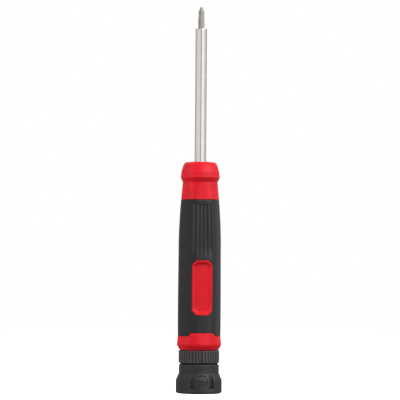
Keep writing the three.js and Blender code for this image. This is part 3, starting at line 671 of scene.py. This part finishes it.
def handle_core():
    """The red moulding: spigot, band with its tabs, the window's pad, neck and nose.

    The paths' corners are (radius, height, rounding)."""
    angles, rows = handle_angles(), handle_rows()
    groove = SPIGOT_RADIUS - CLIP_GROOVE
    clip_foot, clip_top = clip_low.z - SEAT_GAP, clip_high.z + SEAT_GAP
    band_top = GRIP_FOOT - SEAM
    band = divided(rounded([
        (BORE_RADIUS, SPIGOT_FOOT, 0), (SPIGOT_RADIUS, SPIGOT_FOOT, 0.15), (SPIGOT_RADIUS, clip_foot, 0),
        (groove, clip_foot, 0), (groove, clip_top, 0), (SPIGOT_RADIUS, clip_top, 0),
        (SPIGOT_RADIUS, BAND_FOOT, 0.1), (BAND_EDGE_RADIUS, BAND_FOOT, 0.25),
        (RING_RADIUS + 0.84, BAND_FOOT + 2.0, 0.5), (BAND_RADIUS + SKIN_RISE, BAND_BELLY, 0.4),
        (GRIP_RADIUS + 0.02, band_top, GRIP_EDGE), (GRIP_RADIUS - GRIP_WALL - SEAT_GAP, band_top, 0)],
    ), 0.45)
    sleeve = np.stack([grip_radius(rows) - GRIP_WALL - SEAT_GAP, rows], axis=-1)
    nose = divided(rounded([
        (GRIP_TOP_RADIUS - GRIP_WALL, GRIP_TOP + SEAM, 0), (GRIP_TOP_RADIUS, GRIP_TOP + SEAM, GRIP_EDGE),
        (NECK_FOOT_RADIUS + 0.5, NOSE_FOOT - 4.8, 12), (NECK_FOOT_RADIUS, NOSE_FOOT + 0.3, 0.3),
        (NOSE_RADIUS + 0.08, NOSE_LIP, 0.7), (NOSE_RADIUS - 0.2, NOSE_FOOT + 6.0, 3.0),
        (NOSE_RADIUS - 1.4, NOSE_TOP - 2.0, 1.2), (NOSE_RADIUS - 2.5, NOSE_TOP - 0.45, 1.0),
        (SHAFT_HOLE, NOSE_TOP, 0.25), (SHAFT_HOLE, NOSE_TOP - 1, 0)],
    ), 0.3)
    hole = np.array([(SHAFT_HOLE, SHAFT_FOOT - SEAT_GAP), (0, SHAFT_FOOT - SEAT_GAP)])
    bore = np.array([(0, BORE_TOP), (BORE_RADIUS, BORE_TOP), (BORE_RADIUS, SPIGOT_FOOT + 0.2)])
    profile = np.concatenate([bore, band, sleeve, nose, hole])
    radius, height = profile[:, :1], profile[:, 1:]
    angle = angles[None, :]
    outside = (height > BAND_FOOT) & (radius > SHAFT_HOLE + 0.5)
    facets = facet_drop(angle, height) * outside * smooth(SHAFT_HOLE, GRIP_TOP_RADIUS - 1.5, radius)
    facets = facets * (1 - NOSE_ROUNDNESS * smooth(GRIP_TOP, NOSE_LIP, height))
    facets[:len(bore)] = 0
    away = np.abs(np.degrees(angle) - 90)
    in_keyway = (away < KEYWAY_ANGLE) & (np.arange(len(profile)) < len(bore) + 1)[:, None] & (radius > 1)
    spread = np.where(in_keyway, KEYWAY_REACH, radius + 0 * angle)
    lifted = height + tab_rise(angle, height) * outside
    lifted[:len(bore)] = height[:len(bore)]
    skin = Skin()
    patch = WindowPatch(rows, angles)
    first = len(bore) + len(band)
    points = turned_points(spread - facets, lifted, angle)
    index = skin.grid(points, False, [patch.hole(first)])
    window_pad(skin, patch, index[first:first + len(rows)])
    skin.build("handle_moulding", "handle", red, ["handle_core"], sharp=50)


# Spinning ring

KNURL_COUNT = 40
KNURL_DEPTH = 0.34
KNURL_PHASE = 0.375
# Shares of the pitch where a groove's two flanks begin and end
KNURL_FALL, KNURL_RISE = (0.40, 0.52), (0.88, 1.0)
INDEX_HALF = 0.5
INDEX_DEPTH = 0.6
RING_EDGE = 0.4
RING_SKIN = RING_RADIUS + SKIN_RISE
CHAMBER_RADIUS = RING_RADIUS - 1.1
BEARING_RADIUS = SPIGOT_RADIUS + RUN_GAP
BEARING_FOOT = clip_high.z + SEAT_GAP


def knurl_drop(angle):
    """How far the ring's surface lies inside its crests: rounded ribs, and one index groove in front."""
    turn = (angle / (2 * math.pi) * KNURL_COUNT - KNURL_PHASE) % 1
    groove = smooth(*KNURL_FALL, turn) * (1 - smooth(*KNURL_RISE, turn))
    across = np.abs(RING_RADIUS * np.sin(angle)) + 100 * (np.cos(angle) < 0)
    index = 1 - smooth(INDEX_HALF * 0.8, INDEX_HALF * 1.15, across)
    flat = 1 - smooth(INDEX_HALF * 3.0, INDEX_HALF * 3.4, across)
    return np.maximum(KNURL_DEPTH * groove * (1 - flat), INDEX_DEPTH * index)


def knurled_ring():
    """The ring with its knurls, and the chamber that the bayonet turns in."""
    angles = round_angles(0.6)
    brow = RING_SKIN - RING_EDGE
    outer = rounded([
        (CHAMBER_RADIUS, RING_FOOT, 0), (brow, RING_FOOT, 0.15), (RING_SKIN, RING_FOOT + RING_EDGE, 0.25),
        (RING_SKIN, RING_TOP - RING_EDGE, 0.25), (brow, RING_TOP, 0.15), (BEARING_RADIUS, RING_TOP, 0.1),
        (BEARING_RADIUS, BEARING_FOOT, 0), (CHAMBER_RADIUS, BEARING_FOOT, 0), (CHAMBER_RADIUS, RING_FOOT, 0)],
        steps=4)
    profile = divided(outer[:-1], 0.8)
    radius, height = profile[:, :1], profile[:, 1:]
    share = smooth(brow - 0.3, brow + 0.1, radius)
    drop = knurl_drop(angles[None, :]) * share
    skin = Skin()
    skin.grid(turned_points(radius - drop, height, angles[None, :]), True)
    skin.build("knurled_ring", "spin_ring", ring_black, ["ring_body"], sharp=40)


# Cap

CAP_TOP = seal_low.z - SEAT_GAP
CAP_SKIN = CAP_RIM + 2 * SKIN_RISE
CAP_WAIST = RING_RADIUS - 0.1
CAP_RIM_TOP = 7.7
CAP_FLARE = 4.1
CAP_FOOT_EDGE = 0.8
CAP_CUP = plug_high.x + SEAT_GAP
CAP_WEB_TOP = 12.2
CAP_WEB_FOOT = 9.0
CAP_SPIGOT = plate_high.x - 1.4
CAP_SPIGOT_HOLE = CAP_SPIGOT - 1.9
POST_HOLE = 3.2
LUG_COUNT = 3
LUG_ANGLE = 13
LUG_WALL = 0.2
LUG_HALF = math.radians(LUG_ANGLE)
LUG_REACH = 0.95
LUG_FOOT = LUG_TOP - 1.4
GROOVE_RADIUS = 1.5
GROOVE_ANGLE = 25
GROOVE_SWING = math.radians(GROOVE_ANGLE)
GROOVE_FOOT = 2.3
GROOVE_RUN = 1.4
GROOVE_MIDDLE = CAP_WAIST + 0.1 + GROOVE_RADIUS
GROOVE_SOFT = 0.10

# Signs cut into the front of the cap: an arrow over a turning arc, and a slotted block
MARK_HALF = 0.28
MARK_DEPTH = 0.32
MARK_MIDDLE = (0.1, 7.5)
MARK_ARC_RADIUS = 2.9
MARK_ARC_FROM, MARK_ARC_TO = 125, -50
MARK_REACH = math.radians(20)


def mark_paths():
    """The signs' centre lines as (x, z) points."""
    x, z = MARK_MIDDLE
    turn = np.radians(np.linspace(MARK_ARC_FROM, MARK_ARC_TO, 30))
    arc = np.stack([x + MARK_ARC_RADIUS * np.cos(turn), z + MARK_ARC_RADIUS * np.sin(turn)], axis=-1)
    bars = [np.array([(x - 2.2, z - drop), (x + 0.4, z - drop)]) for drop in (0.9, 2.0, 3.1)]
    stem = np.array([(x + 0.4, z - 0.9), (x + 0.4, z + 0.9)])
    arrow = np.array([(-0.75, 12.9), (0.0, 14.1), (0.75, 12.9)])
    return [arc, *bars, stem, arrow]


def mark_depth(x, z):
    """How deep the signs are cut at places on the front of the cap."""
    away = np.full(x.shape, 9.0)
    for path in mark_paths():
        for (ax, az), (bx, bz) in zip(path, path[1:]):
            along = ((x - ax) * (bx - ax) + (z - az) * (bz - az)) / ((bx - ax) ** 2 + (bz - az) ** 2)
            along = np.clip(along, 0, 1)
            away = np.minimum(away, np.hypot(x - ax - along * (bx - ax), z - az - along * (bz - az)))
    return MARK_DEPTH * (1 - smooth(MARK_HALF * 0.2, MARK_HALF * 1.3, away))


def cap_angles():
    """Angles for the cap, finer at its signs, grooves and lugs."""
    even = np.concatenate([np.arange(-180, 180, 1.5), np.arange(-17, 17, 0.45)])
    middles = (-GROOVE_ANGLE, GROOVE_ANGLE, 180 - GROOVE_ANGLE, GROOVE_ANGLE - 180)
    grooves = [middle + np.arange(-9, 9, 0.4) for middle in middles]
    sides = [turn * (LUG_ANGLE + wall) for turn in (-1, 1) for wall in (0, LUG_WALL)]
    lugs = [k * 360 / LUG_COUNT + side for k in range(LUG_COUNT) for side in sides]
    every = (np.concatenate([even, *grooves, lugs]) + 180) % 360 - 180
    return np.radians(np.unique(np.round(every, 3)))


def groove_wall(angle):
    """The radius of the nearest finger groove's wall, or a large one away from the grooves."""
    folded = np.minimum(np.abs(angle), math.pi - np.abs(angle))
    away = folded - GROOVE_SWING
    reach = GROOVE_RADIUS**2 - (GROOVE_MIDDLE * np.sin(away)) ** 2
    wall = GROOVE_MIDDLE * np.cos(away) - np.sqrt(np.clip(reach, 0, None))
    return np.where(reach > 0, wall, CAP_RIM + 2)


def soft_least(a, b, soft):
    """The smaller of two values, with the corner between them rounded."""
    share = np.clip(0.5 + (a - b) / (2 * soft), 0, 1)
    return a * (1 - share) + b * share - soft * share * (1 - share)


def end_cap():
    """The flared cap with its finger grooves, spigot and bayonet lugs."""
    angles = cap_angles()
    outer = divided(rounded([
        (CAP_CUP, 0, 0), (CAP_SKIN - CAP_FOOT_EDGE, 0, 0.3), (CAP_SKIN, CAP_FOOT_EDGE, 0.9),
        (CAP_SKIN - 0.08, CAP_RIM_TOP, 0.9), (CAP_WAIST + 0.05, CAP_RIM_TOP + CAP_FLARE - 0.2, 0.9),
        (CAP_WAIST, CAP_TOP, 0.45), (CAP_SPIGOT, CAP_TOP, 0)]), 0.18)
    spigot = rounded([
        (CAP_SPIGOT, CAP_TOP + 0.02, 0), (CAP_SPIGOT, LUG_FOOT - 0.02, 0), (CAP_SPIGOT, LUG_FOOT + 0.02, 0),
        (CAP_SPIGOT, LUG_TOP, 0.25), (CAP_SPIGOT_HOLE, LUG_TOP, 0.2), (CAP_SPIGOT_HOLE, CAP_WEB_TOP, 0),
        (POST_HOLE, CAP_WEB_TOP, 0), (POST_HOLE, CAP_WEB_FOOT, 0), (CAP_CUP, CAP_WEB_FOOT, 0),
        (CAP_CUP, 0, 0)])[:-1]
    profile = np.concatenate([outer, spigot])
    radius, height = profile[:, :1] + 0 * angles[None, :], profile[:, 1:]
    angle = angles[None, :]
    rows = np.arange(len(profile))[:, None]
    outside = rows < len(outer)
    in_groove = outside * smooth(GROOVE_FOOT, GROOVE_FOOT + GROOVE_RUN, height) * (radius > CAP_WAIST - 1.0)
    cut = soft_least(radius, groove_wall(angle), GROOVE_SOFT)
    radius = np.where(in_groove > 0, radius + (cut - radius) * in_groove, radius)
    on_rim = outside & (height > GROOVE_FOOT) & (height < CAP_TOP - 0.5)
    in_front = on_rim & (np.abs(angle) < MARK_REACH)
    radius = radius - np.where(in_front, mark_depth(radius * np.sin(angle), height + 0 * angle), 0)
    lug_turn = (angle + math.pi / LUG_COUNT) % (2 * math.pi / LUG_COUNT) - math.pi / LUG_COUNT
    in_lug = ~outside & (height > LUG_FOOT) & (profile[:, :1] > CAP_SPIGOT_HOLE + 0.5)
    radius = radius + LUG_REACH * (in_lug & (np.abs(lug_turn) < LUG_HALF + 1e-3))
    skin = Skin()
    skin.grid(turned_points(radius, height, angle), True)
    skin.build("cap", "end_cap", black, ["end_cap"], sharp=42)


def cap_seal():
    """The seal in the gap between the cap and the ring. Its near-black rubber also serves as painted shade in
    that gap.
    """
    angles = round_angles(2.5)
    middle = (seal_low.z + seal_high.z) / 2
    half = (seal_high.z - seal_low.z) / 2
    turn = np.radians(np.arange(0, 360, 20))
    radius = seal_high.x - 0.5 + 0.5 * np.cos(turn)
    height = middle + half * np.clip(1.25 * np.sin(turn), -1, 1)
    skin = Skin()
    skin.grid(turned_points(radius[:, None], height[:, None], angles[None, :]), True)
    skin.build("gap_seal", "end_cap", seal_rubber, ["cap_seal"])


def cap_plug():
    """The dished disc in the foot of the cap."""
    angles = round_angles(3)
    across = np.linspace(0, plug_high.x - 0.6, 14)
    dish = 0.5 * (1 - (across / across[-1]) ** 2) ** 1.2
    under = np.stack([across, plug_low.z + dish], axis=-1)
    edge = rounded([
        (across[-1], plug_low.z, 0), (plug_high.x, plug_low.z, 0.25), (plug_high.x, plug_high.z, 0.2),
        (0, plug_high.z, 0)])
    profile = np.concatenate([under, edge[1:]])
    skin = Skin()
    skin.grid(turned_points(profile[:, :1], profile[:, 1:], angles[None, :]))
    skin.build("foot_plug", "end_cap", black, ["cap_plug"], sharp=50)


# Shaft and bits

SHAFT_RADIUS = 3.3
SHAFT_EDGE = 0.55
SOCKET_FLATS = 4.24
SOCKET_FLOOR = bit_low.z - SEAT_GAP
WING_HALF_SPAN = 5.25
WING_HALF_THICKNESS = 1.2
WING_FOOT = SHAFT_FOOT + 3.0
WING_TOP = WING_FOOT + 12.0


def hexagon_radius(flats, angle):
    """A hexagon's radius at an angle from one of its corners."""
    return flats / 2 / np.cos(angle % (math.pi / 3) - math.pi / 6)


def shaft_rod():
    """The ground shaft: wings inside the handle, a rounded end and the hexagon socket."""
    angles = round_angles(2.5)
    angle = angles[None, :]
    steps = [SHAFT_FOOT, WING_FOOT, WING_FOOT, WING_TOP, WING_TOP]
    low = np.array([(0, SHAFT_FOOT)] + [(SHAFT_RADIUS, z) for z in steps])
    high = divided(rounded([
        (SHAFT_RADIUS, WING_TOP + 1, 0), (SHAFT_RADIUS, SHAFT_TOP - SHAFT_EDGE - 0.3, 0),
        (SHAFT_RADIUS, SHAFT_TOP, SHAFT_EDGE), (SOCKET_FLATS / 2 + 0.5, SHAFT_TOP, 0)], steps=7), 8)
    outer = np.concatenate([low, high])
    radius, height = outer[:, :1] + 0 * angle, outer[:, 1:]
    corner = angle + math.pi / 2
    wing = np.minimum(WING_HALF_SPAN / np.maximum(np.abs(np.sin(angle)), 1e-6),
                      WING_HALF_THICKNESS / np.maximum(np.abs(np.cos(angle)), 1e-6))
    for row in (3, 4):
        radius[row] = np.maximum(radius[row], wing[0])
    mouth = hexagon_radius(SOCKET_FLATS + 0.3, corner)
    socket = hexagon_radius(SOCKET_FLATS, corner)
    inner = [turned_points(mouth, np.full_like(angle, SHAFT_TOP), angle),
             turned_points(socket, np.full_like(angle, SHAFT_TOP - 0.15), angle),
             turned_points(socket, np.full_like(angle, SOCKET_FLOOR), angle),
             turned_points(0 * angle, np.full_like(angle, SOCKET_FLOOR), angle)]
    skin = Skin()
    skin.grid(np.concatenate([turned_points(radius, height, angle), *inner]))
    skin.build("shaft_rod", "handle", shaft_steel, ["shaft"], sharp=35)


BIT_FLATS = 4.0
BIT_LENGTH = bit_high.z - bit_low.z
BIT_SHANK = 15.6
BIT_FALL = 0.8
BIT_SHOULDER = 0.5
BIT_NECK = 3.55 / 2
BIT_TIP_LENGTH = 6.7
BIT_POINT = 2.4
BIT_EDGE = 0.35
BIT_CORNER = BIT_FLATS / math.sqrt(3)
DRIVER_TIP = 3.28


def notch_radius(angle, count, reach, slant):
    """The radius left by straight cuts round a tip. Slant is 1 for right-angled notches and 0 for flats."""
    half = math.pi / count
    folded = np.abs((angle + half) % (2 * half) - half)
    facing = np.cos(folded) - slant * np.sin(folded)
    return np.where(facing > 1e-3, reach / np.maximum(facing, 1e-3), 1e3)


def tip_radius(kind, tip, angle, height):
    """The radius that a working tip's cuts leave at an angle and a height."""
    foot = BIT_LENGTH - BIT_TIP_LENGTH + BIT_SHOULDER
    share = (BIT_LENGTH - height) / (BIT_LENGTH - foot)
    point_share = np.clip((BIT_LENGTH - height) / BIT_POINT, 0, None)
    if kind == "cross":
        return notch_radius(angle - math.pi / 4, 4, tip * (0.2 + 0.8 * share), 1)
    if kind == "blade":
        return notch_radius(angle, 2, tip * (0.2 + 0.8 * share), 0)
    if kind == "square":
        return notch_radius(angle, 4, tip * (0.707 + 0.293 * point_share**2), 0)
    if kind == "hexagon":
        return notch_radius(angle, 6, tip * (0.866 + 0.134 * point_share**2), 0)
    lobes = tip * (0.86 + 0.14 * np.cos(6 * angle))
    return np.where(point_share < 1, lobes, lobes + (tip - lobes) * smooth(1, 1.25, point_share))


def bit_points(kind, tip, columns):
    """A bit standing on its shank at the origin, with a corner of its hexagon on +X."""
    angle = np.radians(np.arange(0, 360, 360 / columns))[None, :]
    tip_foot = BIT_LENGTH - BIT_TIP_LENGTH
    point = tip * 0.4 if kind == "cross" else tip
    tip_full, point_foot, neck_foot = tip_foot + BIT_SHOULDER, BIT_LENGTH - BIT_POINT, BIT_SHANK - BIT_FALL
    knots = [(0, BIT_CORNER - BIT_EDGE), (BIT_EDGE, BIT_CORNER + 0.1), (neck_foot, BIT_CORNER + 0.1),
             (BIT_SHANK, BIT_NECK), (tip_foot, BIT_NECK), (tip_full, tip), (point_foot, tip),
             (BIT_LENGTH - 0.1, point), (BIT_LENGTH, point * 0.9)]
    stretches = [(0, BIT_EDGE, 4), (BIT_EDGE, neck_foot, 6), (neck_foot, BIT_SHANK, 6),
                 (BIT_SHANK, tip_foot, 4), (tip_foot, tip_full, 4), (tip_full, point_foot, 14),
                 (point_foot, BIT_LENGTH, 12)]
    rows = np.unique(np.concatenate([np.linspace(*stretch) for stretch in stretches]))
    height = rows[:, None]
    blank = np.interp(height, [k[0] for k in knots], [k[1] for k in knots])
    radius = np.minimum(blank, hexagon_radius(BIT_FLATS, angle))
    in_tip = height > tip_full
    radius = np.where(in_tip, np.minimum(radius, tip_radius(kind, tip, angle, height)), radius)
    points = np.stack([radius * np.cos(angle), radius * np.sin(angle), height + 0 * angle], axis=-1)
    ends = [points[:1] * (0, 0, 1), points, points[-1:] * (0, 0, 1)]
    return np.concatenate(ends)


def driver_bit():
    """The cross bit in the socket."""
    skin = Skin()
    skin.grid(bit_points("cross", DRIVER_TIP / 2, 144) + (0, 0, bit_low.z))
    skin.build("cross_bit", "driver_bit", bit_steel, ["driver_bit"], sharp=30)


# Kinds and diameters of the spare bits' tips
SPARE_TIPS = [
    ("cross", 2.8), ("cross", 2.3), ("cross", 1.8), ("blade", 3.0), ("blade", 2.4), ("blade", 1.8),
    ("star", 2.8), ("star", 2.3), ("star", 1.8), ("hexagon", 2.6), ("hexagon", 2.0), ("square", 2.4),
]


def spare_bits():
    """The bits in the carrier, each with a corner of its hexagon outwards."""
    for number, (kind, diameter) in enumerate(SPARE_TIPS, 1):
        node = f"stored_bit_{number}"
        low, high = box_mm(node)
        middle = (low + high) / 2
        turn = Matrix.Rotation(math.atan2(middle.y, middle.x), 3, "Z")
        points = bit_points(kind, diameter / 2, 72) @ np.array(turn).T
        skin = Skin()
        skin.grid(points + (middle.x, middle.y, low.z))
        skin.build(f"spare_bit_{number}", "bit_carrier", bit_steel, [node], sharp=30)


# Solids that keep their packed form, with broken edges and a finish

BEVEL_SEGMENTS = 2
BEVEL_ANGLE = math.radians(32)
KEPT_NODES = {
    "bit_carrier": (carrier_plastic, "carrier_plastic", 0.12),
    "thrust_washer": (bearing_plastic, "bearing_plastic", 0.06),
    "screw_washer": (spring_steel, "spring_steel", 0.06),
    "pivot_screw": (spring_steel, "spring_steel", 0.08),
    "ring_clip": (spring_steel, "spring_steel", 0.08),
    "bayonet_plate": (spring_steel, "spring_steel", 0.1),
    "socket_magnet": (magnet_nickel, "magnet_nickel", 0.1),
}


def keep_nodes():
    """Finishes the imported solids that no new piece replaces."""
    for name, (material, slot, edge) in KEPT_NODES.items():
        node = frame["nodes"][name]
        node.data.materials.clear()
        node.data.materials.append(material)
        bevel = node.modifiers.new("broken_edges", "BEVEL")
        bevel.width = edge * MM
        bevel.segments = BEVEL_SEGMENTS
        bevel.limit_method = "ANGLE"
        bevel.angle_limit = BEVEL_ANGLE


# Stage, light and camera

CAMERA_AZIMUTH = math.radians(-8.5)
CAMERA_ELEVATION = math.radians(-1.0)
CAMERA_DISTANCE = 1400.0
CAMERA_ROLL = math.radians(0.43)
CAMERA_AIM = (-0.05, 0.0, 109.95)
VIEW_WIDTH = 228.0
CAMERA_CLIP = (0.01, 20)
SENSOR = 36.0


def direction(azimuth, elevation):
    """The way to a place seen at an azimuth from the front and an elevation."""
    flat = math.cos(elevation)
    return Vector((math.sin(azimuth) * flat, -math.cos(azimuth) * flat, math.sin(elevation)))


def camera():
    data = bpy.data.cameras.new("camera")
    data.sensor_width = SENSOR
    data.lens = SENSOR * CAMERA_DISTANCE / VIEW_WIDTH
    data.clip_start, data.clip_end = CAMERA_CLIP
    view = placed("camera", data)
    back = direction(CAMERA_AZIMUTH, CAMERA_ELEVATION)
    view.location = (Vector(CAMERA_AIM) + back * CAMERA_DISTANCE) * MM
    view.rotation_mode = "QUATERNION"
    roll = Matrix.Rotation(CAMERA_ROLL, 3, "Z").to_quaternion()
    view.rotation_quaternion = (-back).to_track_quat("-Z", "Y") @ roll
    bpy.context.scene.camera = view


LAMP_AIM = Vector((0, 0, 0.11))
# Azimuth and elevation in degrees, distance, width and height in metres, and power in watts
LAMPS = {
    "key": (50, 38, 1.3, 0.7, 0.9, 14),
    "fill": (-70, 16, 1.3, 0.7, 1.0, 9.5),
    "back_right": (160, 30, 1.3, 0.5, 1.0, 6),
    "back_left": (-165, 30, 1.3, 0.5, 1.0, 6),
}


def area_light(name, azimuth, elevation, distance, width, height, power):
    """A soft lamp aimed at the handle."""
    data = bpy.data.lights.new(name, "AREA")
    data.shape = "RECTANGLE"
    data.size, data.size_y = width, height
    data.energy = power
    lamp = placed(name, data)
    back = direction(math.radians(azimuth), math.radians(elevation))
    lamp.location = LAMP_AIM + back * distance
    lamp.rotation_mode = "QUATERNION"
    lamp.rotation_quaternion = (-back).to_track_quat("-Z", "Y")
    lamp.visible_glossy = False


# Tones of the screens that the gloss mirrors, by the angle in degrees to the right of the camera
SCREEN_RADIUS = 2.5
SCREEN_SPLIT = 0.65
SCREEN_TOP = 2.6
LOW_SCREEN_LEVEL = 1.2
LOW_SCREEN_TONES = [
    (-179, 0.35), (-112, 0.42), (-85, 0.58), (-58, 0.68), (-30, 0.68), (-6, 0.63), (0, 0.27),
    (11, 0.27), (16, 0.97), (40, 0.95), (65, 0.76), (90, 0.55), (130, 0.41), (179, 0.35),
]
HIGH_SCREEN_LEVEL = 4.0
HIGH_SCREEN_TONES = [
    (-179, 0.1), (-100, 0.07), (-70, 0.05), (-20, 0.05), (0, 0.05), (14, 0.2),
    (24, 1.0), (66, 0.9), (90, 0.2), (130, 0.1), (179, 0.1),
]


def tones_round(tree, tone_list):
    """A grey that changes with the angle round the axis."""
    nodes, links = tree.nodes, tree.links
    turn = nodes.new("ShaderNodeTexGradient")
    turn.gradient_type = "RADIAL"
    links.new(nodes.new("ShaderNodeTexCoord").outputs["Object"], turn.inputs["Vector"])
    ramp = nodes.new("ShaderNodeValToRGB")
    links.new(turn.outputs["Fac"], ramp.inputs["Fac"])
    start = 90 + math.degrees(CAMERA_AZIMUTH)
    stops = sorted(((start + angle) / 360 % 1, tone) for angle, tone in tone_list)
    elements = ramp.color_ramp.elements
    while len(elements) < len(stops):
        elements.new(0.5)
    for element, (place, tone) in zip(elements, stops):
        element.position = place
        element.color = (tone, tone, tone, 1)
    return ramp.outputs["Color"]


def screen(name, foot, top, level, tone_list):
    """A round studio screen that only gloss sees, with panels of their own tones round it."""
    angles = round_angles(5)
    points = turned_points(SCREEN_RADIUS, np.array([[foot], [top]]), angles[None, :])
    count = len(angles)
    quads = [(i, (i + 1) % count, count + (i + 1) % count, count + i) for i in range(count)]
    mesh = bpy.data.meshes.new(name)
    mesh.from_pydata(points.reshape(-1, 3).tolist(), [], quads)
    wall = placed(name, mesh)
    material, tree = new_material(name)
    nodes, links = tree.nodes, tree.links
    nodes.remove(nodes["Principled BSDF"])
    glow = nodes.new("ShaderNodeEmission")
    glow.inputs["Strength"].default_value = level
    links.new(tones_round(tree, tone_list), glow.inputs["Color"])
    links.new(glow.outputs["Emission"], nodes["Material Output"].inputs["Surface"])
    mesh.materials.append(material)
    wall.visible_camera = False
    wall.visible_diffuse = False
    wall.visible_shadow = False


def seen_directly(tree):
    """1 for camera, glossy and transmitted rays, and 0 for the rest."""
    rays = tree.nodes.new("ShaderNodeLightPath").outputs
    first = maths(tree, "MAXIMUM", rays["Is Camera Ray"], rays["Is Glossy Ray"])
    return maths(tree, "MAXIMUM", first, rays["Is Transmission Ray"])


WORLD_FILL = 0.5


def world():
    """A white surround, weaker for the light that it sheds."""
    scene_world = bpy.data.worlds.new("studio")
    bpy.context.scene.world = scene_world
    scene_world.use_nodes = True
    tree = scene_world.node_tree
    background = tree.nodes["Background"]
    background.inputs["Color"].default_value = (1, 1, 1, 1)
    level = tree.nodes.new("ShaderNodeMapRange")
    level.inputs["To Min"].default_value = WORLD_FILL
    level.inputs["To Max"].default_value = 1.0
    tree.links.new(seen_directly(tree), level.inputs["Value"])
    tree.links.new(level.outputs["Result"], background.inputs["Strength"])


FLOOR_HALF = 3.0
FLOOR_LEVEL = -0.071
FLOOR_GLOW = 0.8
FLOOR_TONE = 0.8
FLOOR_BOUNCE = 0.15
FLOOR_SHINE = 0.7


def floor():
    """A pale floor, low enough for the carrier to be drawn out above it."""
    mesh = bpy.data.meshes.new("floor")
    s, z = FLOOR_HALF, FLOOR_LEVEL
    mesh.from_pydata([(-s, -s, z), (s, -s, z), (s, s, z), (-s, s, z)], [], [(0, 1, 2, 3)])
    ground = placed("floor", mesh)
    material, tree = new_material("floor")
    nodes, links = tree.nodes, tree.links
    shader = nodes["Principled BSDF"]
    shader.inputs["Roughness"].default_value = 1.0
    shader.inputs["Specular IOR Level"].default_value = 0.0
    rays = nodes.new("ShaderNodeLightPath").outputs
    bounce = maths(tree, "MULTIPLY", rays["Is Diffuse Ray"], FLOOR_BOUNCE)
    tone = maths(tree, "MULTIPLY_ADD", rays["Is Camera Ray"], FLOOR_TONE, bounce)
    colour = nodes.new("ShaderNodeCombineColor")
    for socket in colour.inputs[:3]:
        links.new(tone, socket)
    links.new(colour.outputs["Color"], shader.inputs["Base Color"])
    mirrored, (plain, toned), emitted = colour_mix(tree)
    links.new(rays["Is Glossy Ray"], mirrored)
    plain.default_value = (1, 1, 1, 1)
    links.new(tones_round(tree, LOW_SCREEN_TONES), toned)
    links.new(emitted, shader.inputs["Emission Color"])
    shine = maths(tree, "MULTIPLY", rays["Is Glossy Ray"], FLOOR_SHINE)
    glow = maths(tree, "MULTIPLY_ADD", rays["Is Camera Ray"], FLOOR_GLOW, shine)
    links.new(glow, shader.inputs["Emission Strength"])
    mesh.materials.append(material)


handle_core()
grip()
knurled_ring()
end_cap()
cap_seal()
cap_plug()
shaft_rod()
driver_bit()
spare_bits()
keep_nodes()
camera()
world()
floor()
screen("low_screen", FLOOR_LEVEL, SCREEN_SPLIT, LOW_SCREEN_LEVEL, LOW_SCREEN_TONES)
screen("high_screen", SCREEN_SPLIT, SCREEN_TOP, HIGH_SCREEN_LEVEL, HIGH_SCREEN_TONES)
for lamp_name, values in LAMPS.items():
    area_light(lamp_name, *values)
bpy.context.scene.view_settings.view_transform = "Standard"
